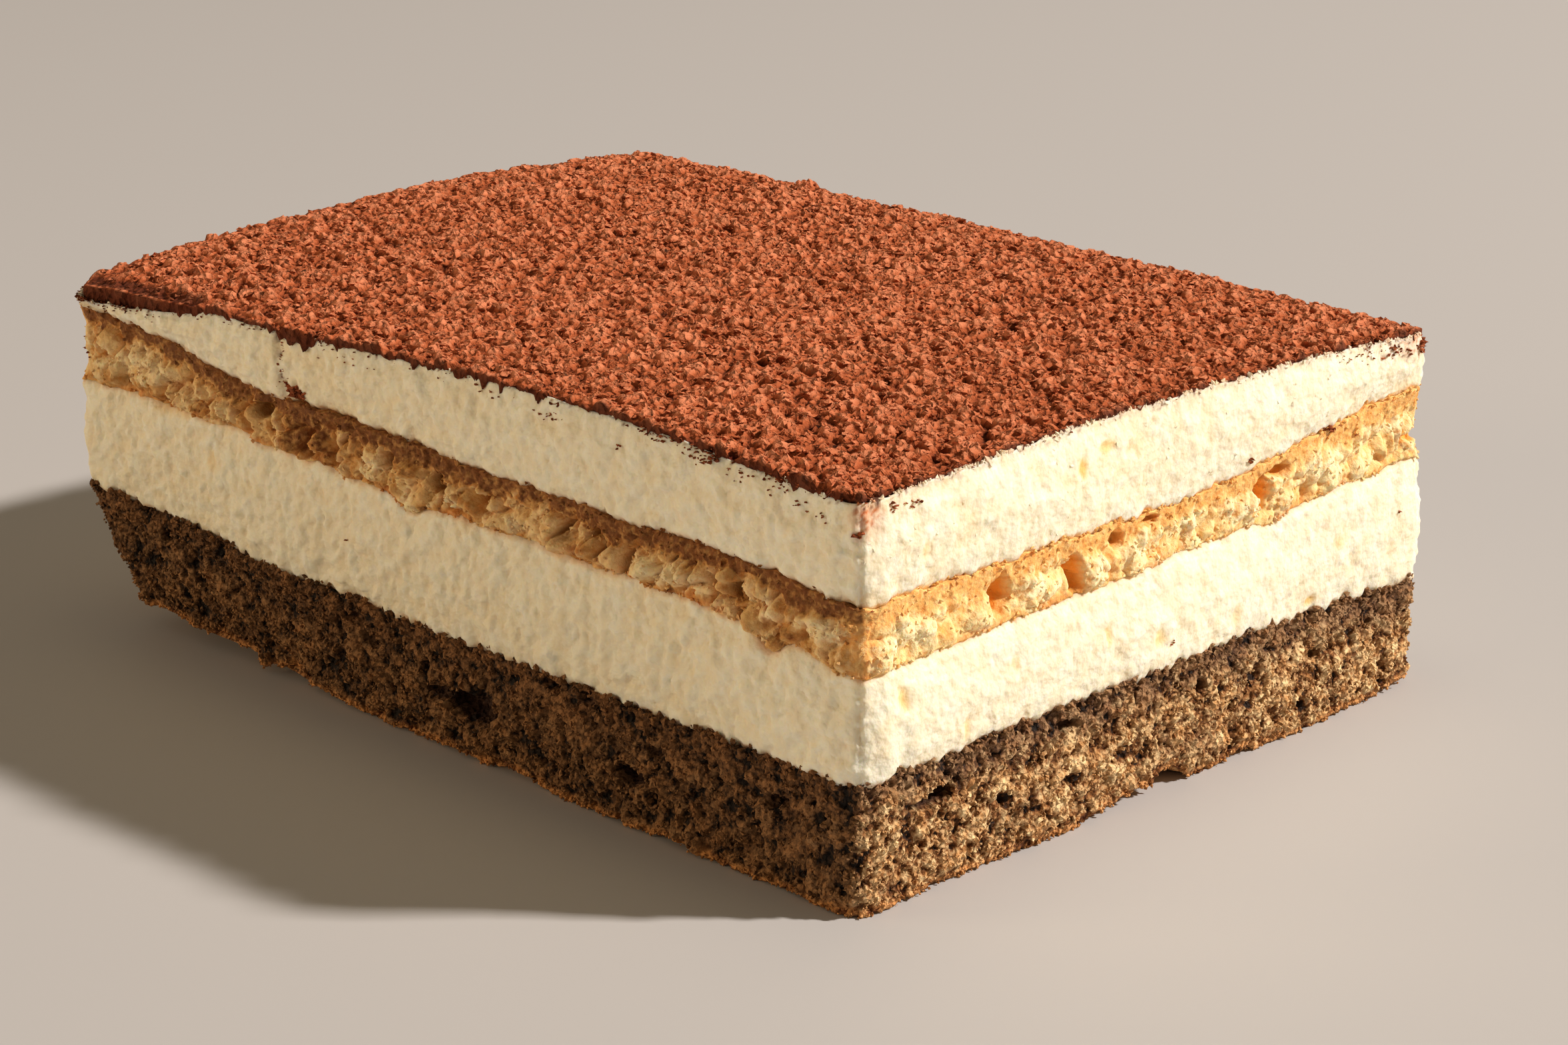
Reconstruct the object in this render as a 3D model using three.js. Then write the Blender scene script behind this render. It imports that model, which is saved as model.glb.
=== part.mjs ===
// A cut portion of tiramisu sheet cake: five layers, each one closed solid.
// Millimetres, +Z up. X runs along the long side, Y along the short side.
// The origin is at the bottom centre of the whole portion.
import * as THREE from "three";
import { mergeVertices } from "three/addons/utils/BufferGeometryUtils.js";

// ---- Driving dimensions -------------------------------------------------------------------
const LENGTH = 123; // along X, at the cocoa
const WIDTH = 90; // along Y, at the cocoa
const COCOA = 0.9; // thickness of the sifted cocoa
const GAP = 0.3; // clear space between two layers
const HALF_LENGTH = LENGTH / 2;
const HALF_WIDTH = WIDTH / 2;

// ---- Fineness of the facets ---------------------------------------------------------------
const SIDE_STEPS = { long: 12, short: 9 }; // facets along a side
const CORNER_STEPS = 3; // facets round each corner
const CAP_RINGS = [1, 0.93, 0.78, 0.5, 0.24]; // rings of the top and the bottom, as shares of the outline

// ---- Smooth curves ------------------------------------------------------------------------
// A smooth step from 0 to 1 between two places.
function ease(from, to, at) {
  const t = THREE.MathUtils.clamp((at - from) / (to - from), 0, 1);
  return t * t * (3 - 2 * t);
}

// A smooth height along one edge, through [place, height] stations.
function profile(stations) {
  return (at) => {
    let i = 1;
    while (i < stations.length - 1 && at > stations[i][0]) i++;
    const [from, low] = stations[i - 1];
    const [to, high] = stations[i];
    return low + (high - low) * ease(from, to, at);
  };
}

// ---- The surfaces between the layers ------------------------------------------------------
// Each is stated by its heights along the front, back and right edges. The portion sagged as it
// was lifted out of its tray, so its layers rise towards the left end and the front left corner.
const EDGES = {
  baseTop: {
    front: profile([
      [-61.5, 16.6],
      [-46, 16],
      [-28, 14.5],
      [0, 14],
      [61.5, 13.6],
    ]),
    right: profile([
      [-45, 13.6],
      [-20, 14],
      [12, 13.6],
      [45, 12.4],
    ]),
    back: profile([
      [-61.5, 15.2],
      [-10, 13.4],
      [61.5, 12.4],
    ]),
  },
  lowerCreamTop: {
    front: profile([
      [-61.5, 29.6],
      [-36, 30],
      [-22, 28.9],
      [10, 27.8],
      [44, 27.2],
      [61.5, 25],
    ]),
    right: profile([
      [-45, 25],
      [0, 25.5],
      [45, 27],
    ]),
    back: profile([
      [-61.5, 28.2],
      [0, 26.4],
      [61.5, 27],
    ]),
  },
  biscuitTop: {
    front: profile([
      [-61.5, 39.2],
      [-48, 38.4],
      [-28, 34.9],
      [-8, 34.7],
      [6, 33.6],
      [44, 33],
      [61.5, 31.7],
    ]),
    right: profile([
      [-45, 31.7],
      [4, 31.3],
      [45, 35],
    ]),
    back: profile([
      [-61.5, 36.2],
      [0, 33.4],
      [61.5, 35],
    ]),
  },
  creamTop: {
    front: profile([
      [-61.5, 40.4],
      [-40, 41.6],
      [22, 43],
      [61.5, 41.4],
    ]),
    right: profile([
      [-45, 41.4],
      [-20, 41.3],
      [20, 41],
      [45, 40.5],
    ]),
    back: profile([
      [-61.5, 41.6],
      [10, 41.4],
      [61.5, 40.5],
    ]),
  },
};
const CROWN = { middle: 0.9, left: 2.3 }; // how far the top stands up halfway to the back

// The height of a surface at any place of the plan: straight from the front edge to the back
// edge, with the shape of the right edge fading out towards the left end.
function surface(edges) {
  return (x, y) => {
    const back = (y + HALF_WIDTH) / WIDTH;
    const right = ease(-HALF_LENGTH, HALF_LENGTH, x);
    const straight = THREE.MathUtils.lerp(edges.front(x), edges.back(x), back);
    const chord = THREE.MathUtils.lerp(
      edges.front(HALF_LENGTH),
      edges.back(HALF_LENGTH),
      back,
    );
    return straight + (edges.right(y) - chord) * right;
  };
}

// The top is crowned from front to back, most of all at the left end.
function crown(x, y) {
  const across = THREE.MathUtils.clamp(y / HALF_WIDTH, -1, 1);
  const height = THREE.MathUtils.lerp(CROWN.middle, CROWN.left, ease(0, -HALF_LENGTH, x));
  return height * (1 - across ** 2);
}

// The underside lies flat. Its left end curls up, and its rim has two broken arches.
const CURL = { from: -14, to: -58, height: 2.6 };
const RIM_DEPTH = 5; // how far in from the rim the arches reach
const ARCHES = [
  { side: "front", at: -32, half: 7, height: 2.4 },
  { side: "right", at: -2, half: 8, height: 1.6 },
];
function underside(x, y) {
  let lift = CURL.height * ease(CURL.from, CURL.to, x);
  for (const arch of ARCHES) {
    const front = arch.side === "front";
    const along = Math.abs((front ? x : y) - arch.at) / arch.half;
    const inward = front ? y + HALF_WIDTH : HALF_LENGTH - x;
    lift += arch.height * ease(1, 0, along) * ease(RIM_DEPTH, 1, inward);
  }
  return lift;
}

// ---- The levels of the stack --------------------------------------------------------------
// Each level is a four-sided outline with rounded corners. Its corners are stated by how far
// they stand out from the nominal rectangle, as [along X, along Y], outward positive.
const LEVELS = [
  {
    z: underside,
    frontLeft: [-4.6, -2.4],
    frontRight: [0.2, -0.2],
    backRight: [0.2, 1.2],
    backLeft: [-3, 0],
    radius: 1.5,
  },
  {
    z: surface(EDGES.baseTop),
    frontLeft: [1, 0.4],
    frontRight: [0.5, 0.4],
    backRight: [0.5, 1.8],
    backLeft: [1, 1],
    radius: 1.2,
  },
  {
    z: surface(EDGES.lowerCreamTop),
    frontLeft: [2.2, 0.4],
    frontRight: [0.2, 0.4],
    backRight: [0.2, 0.9],
    backLeft: [1.6, 0.9],
    radius: 1.2,
  },
  {
    z: surface(EDGES.biscuitTop),
    frontLeft: [2, 0.3],
    frontRight: [0.2, 0.3],
    backRight: [0.2, 0.4],
    backLeft: [1.2, 0.4],
    radius: 1.2,
  },
  {
    z: (x, y) => surface(EDGES.creamTop)(x, y) + crown(x, y),
    frontLeft: [1.2, 0],
    frontRight: [0.1, 0],
    backRight: [0.1, 0.2],
    backLeft: [0.9, 0.2],
    radius: 1.2,
  },
  {
    z: (x, y) => surface(EDGES.creamTop)(x, y) + crown(x, y) + COCOA,
    frontLeft: [0.9, -0.5],
    frontRight: [-0.4, -0.5],
    backRight: [-0.4, -0.4],
    backLeft: [0.5, -0.4],
    radius: 1.4,
  },
];

// The layers from the bottom up. belly: how far the cut face swells out at half height.
const LAYERS = [
  { name: "cocoa_sponge_base", belly: 0.3, rings: 5, colour: 0x5a3d26, roughness: 0.95 },
  { name: "lower_cream", belly: 0.8, rings: 5, colour: 0xf3e6c6, roughness: 0.5 },
  { name: "coffee_biscuit", belly: -0.2, rings: 4, colour: 0xd49a58, roughness: 0.85 },
  { name: "upper_cream", belly: 0.7, rings: 4, colour: 0xf3e6c6, roughness: 0.5 },
  { name: "cocoa_dusting", belly: 0.2, rings: 2, colour: 0x8a4526, roughness: 1 },
];

// ---- The outline of one level -------------------------------------------------------------
// Points run anticlockwise from the front left corner, each with the direction that faces out
// of the cut face.
function outline({ frontLeft, frontRight, backRight, backLeft, radius }) {
  const corner = ([outX, outY], signX, signY, turn, steps) => ({
    x: signX * (HALF_LENGTH + outX - radius),
    y: signY * (HALF_WIDTH + outY - radius),
    turn: turn * Math.PI,
    steps,
  });
  const corners = [
    corner(frontLeft, -1, -1, 1, SIDE_STEPS.long),
    corner(frontRight, 1, -1, 1.5, SIDE_STEPS.short),
    corner(backRight, 1, 1, 0, SIDE_STEPS.long),
    corner(backLeft, -1, 1, 0.5, SIDE_STEPS.short),
  ];
  const points = [];
  corners.forEach((corner, i) => {
    const next = corners[(i + 1) % corners.length];
    const out = new THREE.Vector2();
    for (let step = 0; step <= CORNER_STEPS; step++) {
      const angle = corner.turn + (step / CORNER_STEPS) * 0.5 * Math.PI;
      out.set(Math.cos(angle), Math.sin(angle));
      points.push({
        at: new THREE.Vector2(corner.x, corner.y).addScaledVector(out, radius),
        out: out.clone(),
      });
    }
    const from = points[points.length - 1].at;
    const to = new THREE.Vector2(next.x, next.y).addScaledVector(out, radius);
    for (let step = 1; step < corner.steps; step++) {
      points.push({ at: from.clone().lerp(to, step / corner.steps), out: out.clone() });
    }
  });
  return points;
}

// The knife's slow waver along a cut face, at a share of the way round and a height.
const WAVER = 0.28;
function waver(share, height) {
  const turn = 2 * Math.PI * share;
  return WAVER * (Math.sin(5 * turn + 0.11 * height) + 0.6 * Math.sin(13 * turn + 1.7 + 0.2 * height));
}

// ---- One layer as a closed mesh -----------------------------------------------------------
// Closed rings of points run from the middle of the underside out to the rim, up the cut face,
// and in again over the top. A point at each end closes the surface.
function layerRings(lower, upper, layer) {
  const below = outline(lower);
  const above = outline(upper);
  const isBase = lower === LEVELS[0];
  const isTop = upper === LEVELS[LEVELS.length - 1];
  const floor = (x, y) => lower.z(x, y) + (isBase ? 0 : GAP / 2);
  const roof = (x, y) => upper.z(x, y) - (isTop ? 0 : GAP / 2);

  const wall = (height) =>
    below.map((low, i) => {
      const high = above[i];
      const swell = layer.belly * Math.sin(Math.PI * height);
      const level = THREE.MathUtils.lerp(
        floor(low.at.x, low.at.y),
        roof(high.at.x, high.at.y),
        height,
      );
      const out = swell + waver(i / below.length, level);
      const at = low.at.clone().lerp(high.at, height).addScaledVector(low.out, out);
      return new THREE.Vector3(at.x, at.y, level);
    });
  const cap = (rim, height) =>
    CAP_RINGS.slice(1).map((share) =>
      rim.map((p) => new THREE.Vector3(p.x * share, p.y * share, height(p.x * share, p.y * share))),
    );

  const walls = [];
  for (let ring = 0; ring <= layer.rings; ring++) walls.push(wall(ring / layer.rings));
  return {
    rings: [...cap(walls[0], floor).reverse(), ...walls, ...cap(walls.at(-1), roof)],
    bottom: new THREE.Vector3(0, 0, floor(0, 0)),
    top: new THREE.Vector3(0, 0, roof(0, 0)),
  };
}

function layerMesh(index) {
  const layer = LAYERS[index];
  const { rings, bottom, top } = layerRings(LEVELS[index], LEVELS[index + 1], layer);
  const count = rings[0].length;
  const points = [bottom, ...rings.flat(), top];
  const last = points.length - 1;
  const at = (ring, i) => 1 + ring * count + (i % count);
  const faces = [];
  for (let i = 0; i < count; i++) {
    faces.push(0, at(0, i + 1), at(0, i));
    for (let ring = 0; ring < rings.length - 1; ring++) {
      const [a, b] = [at(ring, i), at(ring, i + 1)];
      const [c, d] = [at(ring + 1, i + 1), at(ring + 1, i)];
      // The underside is split along the same diagonals as the top of the layer beneath it.
      if (ring < CAP_RINGS.length - 1) faces.push(a, b, d, b, c, d);
      else faces.push(a, b, c, a, c, d);
    }
    faces.push(last, at(rings.length - 1, i), at(rings.length - 1, i + 1));
  }
  const geometry = new THREE.BufferGeometry().setFromPoints(points);
  geometry.setIndex(faces);
  const solid = mergeVertices(geometry);
  solid.computeVertexNormals();
  const { colour, roughness, name } = layer;
  const mesh = new THREE.Mesh(
    solid,
    new THREE.MeshStandardMaterial({ color: colour, roughness, metalness: 0 }),
  );
  mesh.name = name;
  return mesh;
}

// ---- The portion --------------------------------------------------------------------------
const portion = new THREE.Group();
portion.name = "tiramisu_portion";
LAYERS.forEach((_, index) => portion.add(layerMesh(index)));

// The origin goes to the bottom centre of what the layers fill.
const bounds = new THREE.Box3().setFromObject(portion);
const centre = bounds.getCenter(new THREE.Vector3());
portion.position.set(-centre.x, -centre.y, -bounds.min.z);

export default portion;
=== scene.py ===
"""The looks of a block-cut portion of tiramisu, built round the CAD layers.

Everything is worked out in millimetres, in the frame's own axes, and turned into metres when a
mesh is made. X runs along the long side. The long cut face looks to -Y, the short one to +X.
"""

import math

import bpy
import numpy as np
from mathutils import Euler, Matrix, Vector
from mathutils.bvhtree import BVHTree


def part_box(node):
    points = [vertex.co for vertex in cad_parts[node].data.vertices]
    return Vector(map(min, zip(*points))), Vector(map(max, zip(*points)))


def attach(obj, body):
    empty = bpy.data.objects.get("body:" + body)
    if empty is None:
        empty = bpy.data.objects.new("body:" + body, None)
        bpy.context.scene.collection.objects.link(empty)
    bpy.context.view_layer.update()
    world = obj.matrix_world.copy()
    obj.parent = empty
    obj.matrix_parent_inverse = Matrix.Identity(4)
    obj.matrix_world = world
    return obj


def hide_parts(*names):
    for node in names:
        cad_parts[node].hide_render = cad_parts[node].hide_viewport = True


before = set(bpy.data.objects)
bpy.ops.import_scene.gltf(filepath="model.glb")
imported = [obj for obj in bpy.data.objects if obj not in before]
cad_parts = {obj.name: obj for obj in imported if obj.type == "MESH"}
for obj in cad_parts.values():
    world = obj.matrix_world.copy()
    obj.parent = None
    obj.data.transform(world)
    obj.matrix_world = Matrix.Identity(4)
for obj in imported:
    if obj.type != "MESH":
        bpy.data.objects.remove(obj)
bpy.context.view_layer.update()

# ---- Sizes, in millimetres ----
MM = 0.001
LENGTH = 123.0  # of the cut block along X
WIDTH = 90.0  # of the cut block along Y
MIDDLE = np.array([0.6, -0.5])  # plan centre of the cut block in the frame
ROUND = 2 * (LENGTH + WIDTH)  # once round the block

CORNER_BLEND = 4.0  # how far from a corner the outward direction starts to turn
CORNER_TURN = 1.2  # how far from a corner the direction of the relief starts to turn
CORNER_MIX = 1.5  # how far past a corner one face's texture runs on to the next face
CORNER_RADIUS = 0.9  # of the four upright edges
CORNER_CUT = 0.41  # how deep the rounding cuts into a corner, as a share of its radius
FINE_STEP = 0.215  # between columns of the front and right sides, for the lines between layers
COARSE_STEP = 0.36  # the same for the back and left sides
CAP_INSET = 4.0  # how far inside the wall a layer's hidden cap starts
LOW_CAP_INSET = 1.6  # the same for the base's lower cap, which the underside's skin covers
LOW_CAP_RISE = 0.6  # how far above the underside that cap starts
TOP_CAP_INSET = 1.5  # the same for the upper cream's top cap, which the cocoa covers
TOP_CAP_DIP = 1.5  # how far below the wall's upper edge that cap starts
PROBE_STEP = 3.0  # between the places where the CAD walls are measured
PROBE_START = 20.0  # how far outside the block a measuring ray starts
PROBE_FAR = 15.0  # how far off, outwards and up or down, a rim is looked for
RAY_TOP = 100.0  # height from which rays are cast down
RAY_FOOT = -10.0  # height from which rays are cast up
WALL_SHARES = (0.0, 0.2, 0.5, 0.8, 1.0)  # heights, as shares of a layer, where a wall is measured

UNDERSIDE_STEP = 1.3  # between the points of the underside's skin
UNDERSIDE_INSET = 0.5  # how far inside the wall the skin starts
UNDERSIDE_RELIEF = 0.4  # depth of its pits
UNDERSIDE_CALM = 4.0  # how far in from its edge the pits stay shallow
UNDERSIDE_THICK = 2.0  # how far the skin's rim reaches up into the base
LIFT_REACH = 4.5  # how far in from the rim the underside follows the rim's lifted stretches

COCOA_STEP = 0.352  # between the points of the cocoa's top
COCOA_RELIEF = 0.7  # height of the clumps on the cocoa's top
COCOA_CALM = 5.0  # how far in from the back and left edges the clumps stay low
COCOA_TUCK = 0.3  # how far the edge draws back behind the torn cream of the right side
COCOA_SAMPLES = (60, 45)  # places along X and Y where the CAD cocoa's height is measured
COCOA_MARGIN = 2.0  # how far inside the edge those places end
LIP = 0.26  # radius of the cocoa's rounded edge
LIP_PROUD = 0.12  # how far the edge stands out from the cream
LIP_DROP = 0.22  # how far down the edge has rounded over
LIP_LEAST = 0.35  # the least height of the lip that hangs over the cream
LIP_ROWS = [
    # out, straight down, share of the rest of the way down to the lip's foot, darkness (partly the
    # pressed cocoa's own colour, partly painted shade)
    (0.6 * LIP, 0.03, 0.0, 0.1),
    (LIP + 0.5 * LIP_PROUD, 0.12, 0.0, 0.5),
    (LIP + LIP_PROUD, LIP_DROP, 0.0, 0.9),
    (LIP + LIP_PROUD, LIP_DROP, 0.5, 1.0),
    (LIP + 0.8 * LIP_PROUD, LIP_DROP, 1.0, 1.0),
    (-3.0 * LIP, LIP_DROP, 1.0, 1.0),
]
SHOULDER_REACH = 2.8  # the front left edge of the cocoa rounds over, this far in
SHOULDER_DROP = 0.45  # how far down it rounds there
SHOULDER_END = (-36.5, -43.0)  # the X places between which the shoulder begins
LUMPS_INSET = 1.2  # how far in from the back edge some lumps of cocoa lie
COCOA_LUMPS = [(-30.7, 1.6, 1.1), (-28.6, 1.2, 0.5), (-5.0, 0.8, 0.5)]  # X, radius, height

DRIP_PLACE = -21.8  # along the front, where a broad lobe of the cocoa hangs down
FOLD_PLACE = -25.7  # along the front, where the upper cream has a fold
FOLD_TOP = 42.3  # height from which the fold slants away to the right
FOLD_SLANT = 0.25  # how far it goes to the right for each millimetre down
FOLD_REACH = 7.0  # how far down it slants
NEAR_CORNER = 61.4  # along the front, where the biscuit is soaked round the corner

FRONT, RIGHT, BACK, LEFT = range(4)
OUTWARD = np.array([[0.0, -1.0], [1.0, 0.0], [0.0, 1.0], [-1.0, 0.0]])
LAYERS = ("cocoa_sponge_base", "lower_cream", "coffee_biscuit", "upper_cream", "cocoa_dusting")
BASE, LOWER_CREAM, BISCUIT, UPPER_CREAM, COCOA = range(5)
# Steps between a layer's columns, on the front and right sides and on the back and left ones.
COLUMN_STEPS = ((0.22, 0.34), (0.34, 0.42), (0.22, 0.34), (0.34, 0.42))
ROW_STEPS = (0.3, 0.34, 0.27, 0.34)  # between the rows of each layer's cut face
BASE_GRAINS = 19000
BASE_GRAIN_SIZES = (0.25, 0.7)
BISCUIT_CRUMBS = 3200
BISCUIT_CRUMB_SIZES = (0.25, 0.65)
CREAM_TEETH = 1300
CREAM_TOOTH_SIZES = (0.3, 0.75)
COCOA_CLUMPS = 13000
COCOA_CLUMP_SIZES = (0.6, 1.2)
RIM_CLUMPS = 1200
RIM_CLUMP_SIZES = (0.2, 0.5)
SPECK_PROUD = 0.05  # how far a speck's centre stands out from the cream
SPECK_SPREAD = 0.6  # standard deviation of the specks, as a share of their group's spread
SPECK_SLACK = 0.3  # how far above a wall's edge a speck still belongs to that wall

TURN = np.array(Euler((0.6, 0.9, 0.4)).to_matrix())  # turns the noise's lattice off the axes

random = np.random.default_rng(11)  # seeded, so every build is the same


# ---- Noise ----
def hashed(lattice, seed):
    """A number from 0 to 1 for each whole-number point of a lattice."""
    # The large numbers only scramble the bits.
    mixed = lattice[..., 0] * 73856093 ^ lattice[..., 1] * 19349663
    mixed = mixed ^ lattice[..., 2] * 83492791 ^ (seed * 2654435 + 101)
    mixed = (mixed ^ mixed >> 13) * 1274126177 & 0xFFFFFFFF
    mixed = (mixed ^ mixed >> 16) * 668265263 & 0xFFFFFFFF
    return (mixed ^ mixed >> 15) / 2.0**32


def noise(points, size, seed):
    """Smooth noise from -1 to 1, with features about size across."""
    place = points @ TURN / size
    corner = np.floor(place).astype(np.int64)
    part = place - corner
    part = part**3 * (part * (part * 6 - 15) + 10)
    total = 0.0
    for offset in np.ndindex(2, 2, 2):
        weight = np.prod(np.where(offset, part, 1 - part), axis=-1)
        total = total + weight * hashed(corner + offset, seed)
    return total * 2 - 1


def layered(points, size, seed, octaves, gain, shape):
    """Shaped noise in layers, each half the size of the one before and weaker by the gain."""
    weights = gain ** np.arange(octaves)
    layers = [shape(noise(points, size / 2**octave, seed + octave)) for octave in range(octaves)]
    return weights @ layers / weights.sum()


def fractal(points, size, seed, octaves=3):
    """Uneven noise from about -1 to 1."""
    return layered(points, size, seed, octaves, 0.5, np.positive)


def billows(points, size, seed, octaves):
    """Rounded lumps with sharp creases between them, from 0 in a crease to about 1."""
    return 2 * layered(points, size, seed, octaves, 0.6, np.abs)


def warped(points, size, distance, seed):
    """The points shifted at random by up to a distance, so that patterns lose their regular look."""
    shift = np.stack([noise(points, size, seed + axis) for axis in range(3)], axis=-1)
    return points + distance * shift


def cells(points, size, seed):
    """Distances to the nearest and next nearest of scattered centres, and the nearest's number.

    The centres are about size apart, the distances are in shares of size, and the number is
    from 0 to 1.
    """
    place = points @ TURN / size
    corner = np.floor(place).astype(np.int64)
    nearest = np.full(len(points), 9.0)
    second = np.full(len(points), 9.0)
    number = np.zeros(len(points))
    for offset in np.ndindex(3, 3, 3):
        lattice = corner + offset - 1
        jitter = np.stack([hashed(lattice, seed + axis) for axis in range(3)], axis=-1)
        distance = np.linalg.norm(lattice + jitter - place, axis=-1)
        closer = distance < nearest
        second = np.where(closer, nearest, np.minimum(second, distance))
        number = np.where(closer, hashed(lattice, seed + 3), number)
        nearest = np.where(closer, distance, nearest)
    return nearest, second, number


def ease(low, high, value):
    """A smooth step from 0 at low to 1 at high."""
    part = np.clip((value - low) / (high - low), 0, 1)
    return part * part * (3 - 2 * part)


# ---- The outline of the block ----
def travel_of(side, place):
    """How far round the block, from its front left corner, a place along a side is."""
    return (
        place + LENGTH / 2,
        place + LENGTH + WIDTH / 2,
        LENGTH + WIDTH + LENGTH / 2 - place,
        2 * LENGTH + WIDTH + WIDTH / 2 - place,
    )[side]


def turned(side, gone, length, blend):
    """Directions out of a side, which near a corner turn to take in the next side's."""
    before = ease(blend, 0, gone)[:, None] * OUTWARD[side - 1]
    after = ease(blend, 0, length - gone)[:, None] * OUTWARD[(side + 1) % 4]
    return OUTWARD[side] + before + after


class Outline:
    """Places round the block, anticlockwise from its front left corner.

    plan holds the places, and from_corner how far each is from its side's nearer corner.
    directions points outwards, root two long at a corner, so that a corner moved outwards stays
    square. normals is one long everywhere, and turns only close to a corner.
    """

    def __init__(self, steps):
        corners = np.array([[-1, -1], [1, -1], [1, 1], [-1, 1]]) * [LENGTH / 2, WIDTH / 2]
        parts = []
        for side in range(4):
            start, end = corners[side], corners[(side + 1) % 4]
            length = np.linalg.norm(end - start)
            count = round(length / steps[side])
            gone = np.arange(count) * length / count
            place = start + (end - start) * (gone / length)[:, None]
            along = place[:, side % 2]
            directions = turned(side, gone, length, CORNER_BLEND)
            normals = turned(side, gone, length, CORNER_TURN)
            widths = np.full(count, length / count)
            from_corner = length / 2 - np.abs(along)
            parts.append((place, directions, normals, travel_of(side, along), widths, from_corner))
        fields = [np.concatenate(part) for part in zip(*parts)]
        self.plan, self.directions, normals, self.travel, self.widths, self.from_corner = fields
        self.normals = normals / np.linalg.norm(normals, axis=1)[:, None]

    def read(self, values, travel):
        """Values known at this outline's places, read anywhere round the block."""
        return np.interp(travel, np.append(self.travel, ROUND), np.append(values, values[0]))

    def gap(self, side, place):
        """How far round the block each place is from one place."""
        gap = np.abs(self.travel - travel_of(side, place))
        return np.minimum(gap, ROUND - gap)

    def near(self, side, place, reach):
        """1 at one place, and 0 from reach away, round the block."""
        return 1 - ease(0, reach, self.gap(side, place))

    def on(self, side):
        """1 on one side and 0 on the others, with a soft change at its two corners."""
        half = (LENGTH, WIDTH)[side % 2] / 2
        return ease(-CORNER_MIX, CORNER_MIX, half - self.gap(side, 0.0))


columns = Outline([FINE_STEP, FINE_STEP, COARSE_STEP, COARSE_STEP])
probes = Outline([PROBE_STEP] * 4)


# ---- Measuring the CAD layers ----
def tree_of(node):
    """A search tree of a CAD node's faces, in millimetres."""
    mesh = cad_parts[node].data
    points = [v.co / MM for v in mesh.vertices]
    return BVHTree.FromPolygons(points, [p.vertices for p in mesh.polygons])


def measured_wall(node):
    """The heights of a layer's lower and upper rims and its wall's reach, round the block.

    The reach is how far the wall stands out from the nominal rectangle at each of WALL_SHARES.
    """
    tree = tree_of(node)
    middle_height = sum(corner.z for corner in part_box(node)) / 2 / MM
    heights = np.zeros((len(probes.plan), 2))
    reach = np.zeros((len(probes.plan), len(WALL_SHARES)))
    for i, (place, direction) in enumerate(zip(probes.plan, probes.directions)):
        length = np.linalg.norm(direction)
        for end, up in enumerate((-1, 1)):
            far = place + MIDDLE + direction / length * PROBE_FAR
            rim = tree.find_nearest(Vector((*far, middle_height + up * PROBE_FAR)))[0]
            heights[i, end] = rim.z
            reach[i, -end] = np.dot(np.array(rim.xy) - MIDDLE - place, direction) / length**2
        start = place + MIDDLE + direction * PROBE_START
        inward = Vector((*-direction, 0)).normalized()
        for k in range(1, len(WALL_SHARES) - 1):
            z = heights[i, 0] + (heights[i, 1] - heights[i, 0]) * WALL_SHARES[k]
            gone = tree.ray_cast(Vector((*start, z)), inward)[3]
            # A ray can slip past the thin cocoa where its rim climbs to a corner.
            reach[i, k] = PROBE_START - gone / length if gone else reach[i, [0, -1]].mean()
    return heights, reach


measured = [measured_wall(node) for node in LAYERS]


def rim_heights():
    """The height of each of the six levels round the block, from the base's rim to the top."""
    levels = [measured[BASE][0][:, 0]]
    for lower, upper in zip(measured, measured[1:]):
        levels.append((lower[0][:, 1] + upper[0][:, 0]) / 2)
    levels.append(measured[COCOA][0][:, 1])
    return [probes.read(level, columns.travel) for level in levels]


# ---- The ragged lines where the layers meet ----
# Tables of features are kept by side, and each entry starts with a place along its side. An entry
# of these goes on with half the length of a lump, and how far it dips (or rises, with a minus).
UNDERSIDE_LUMPS = {
    FRONT: [(-40.5, 3.4, -0.9), (-33.4, 1.7, 0.9), (-27.6, 3.2, -1.5)],
    RIGHT: [(2.4, 3.6, -2.0), (8.2, 2.4, 0.7), (14.0, 3.0, -0.7)],
    BACK: [(18.0, 5.0, -1.4)],
    LEFT: [(-8.0, 4.0, -1.2)],
}
BISCUIT_FLOOR_LUMPS = {
    FRONT: [(-28.5, 4.0, 0.7), (-3.0, 3.4, 1.2), (49.7, 3.4, 1.9)],
    RIGHT: [(18.0, 4.0, 0.8)],
}
BISCUIT_TOP_LUMPS = {FRONT: [(-61.0, 14.0, 0.55), (-42.0, 20.0, 0.5)]}
CREAM_TOP_LUMPS = {FRONT: [(-26.4, 0.8, -0.5)]}


def entries(table):
    """The entries of a table that is kept by side, each with its side put first."""
    return [(side, *entry) for side, listed in table.items() for entry in listed]


def lumpy(table):
    """The sum of a line's lumps round the block."""
    return -sum(dip * columns.near(side, place, half) for side, place, half, dip in entries(table))


def shoulder(plan):
    """How far the cocoa's shoulder rounds over at plan places, 1 on the front's left edge."""
    return ease(SHOULDER_REACH, 0.0, plan[:, 1] + WIDTH / 2) * ease(*SHOULDER_END, plan[:, 0])


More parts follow.
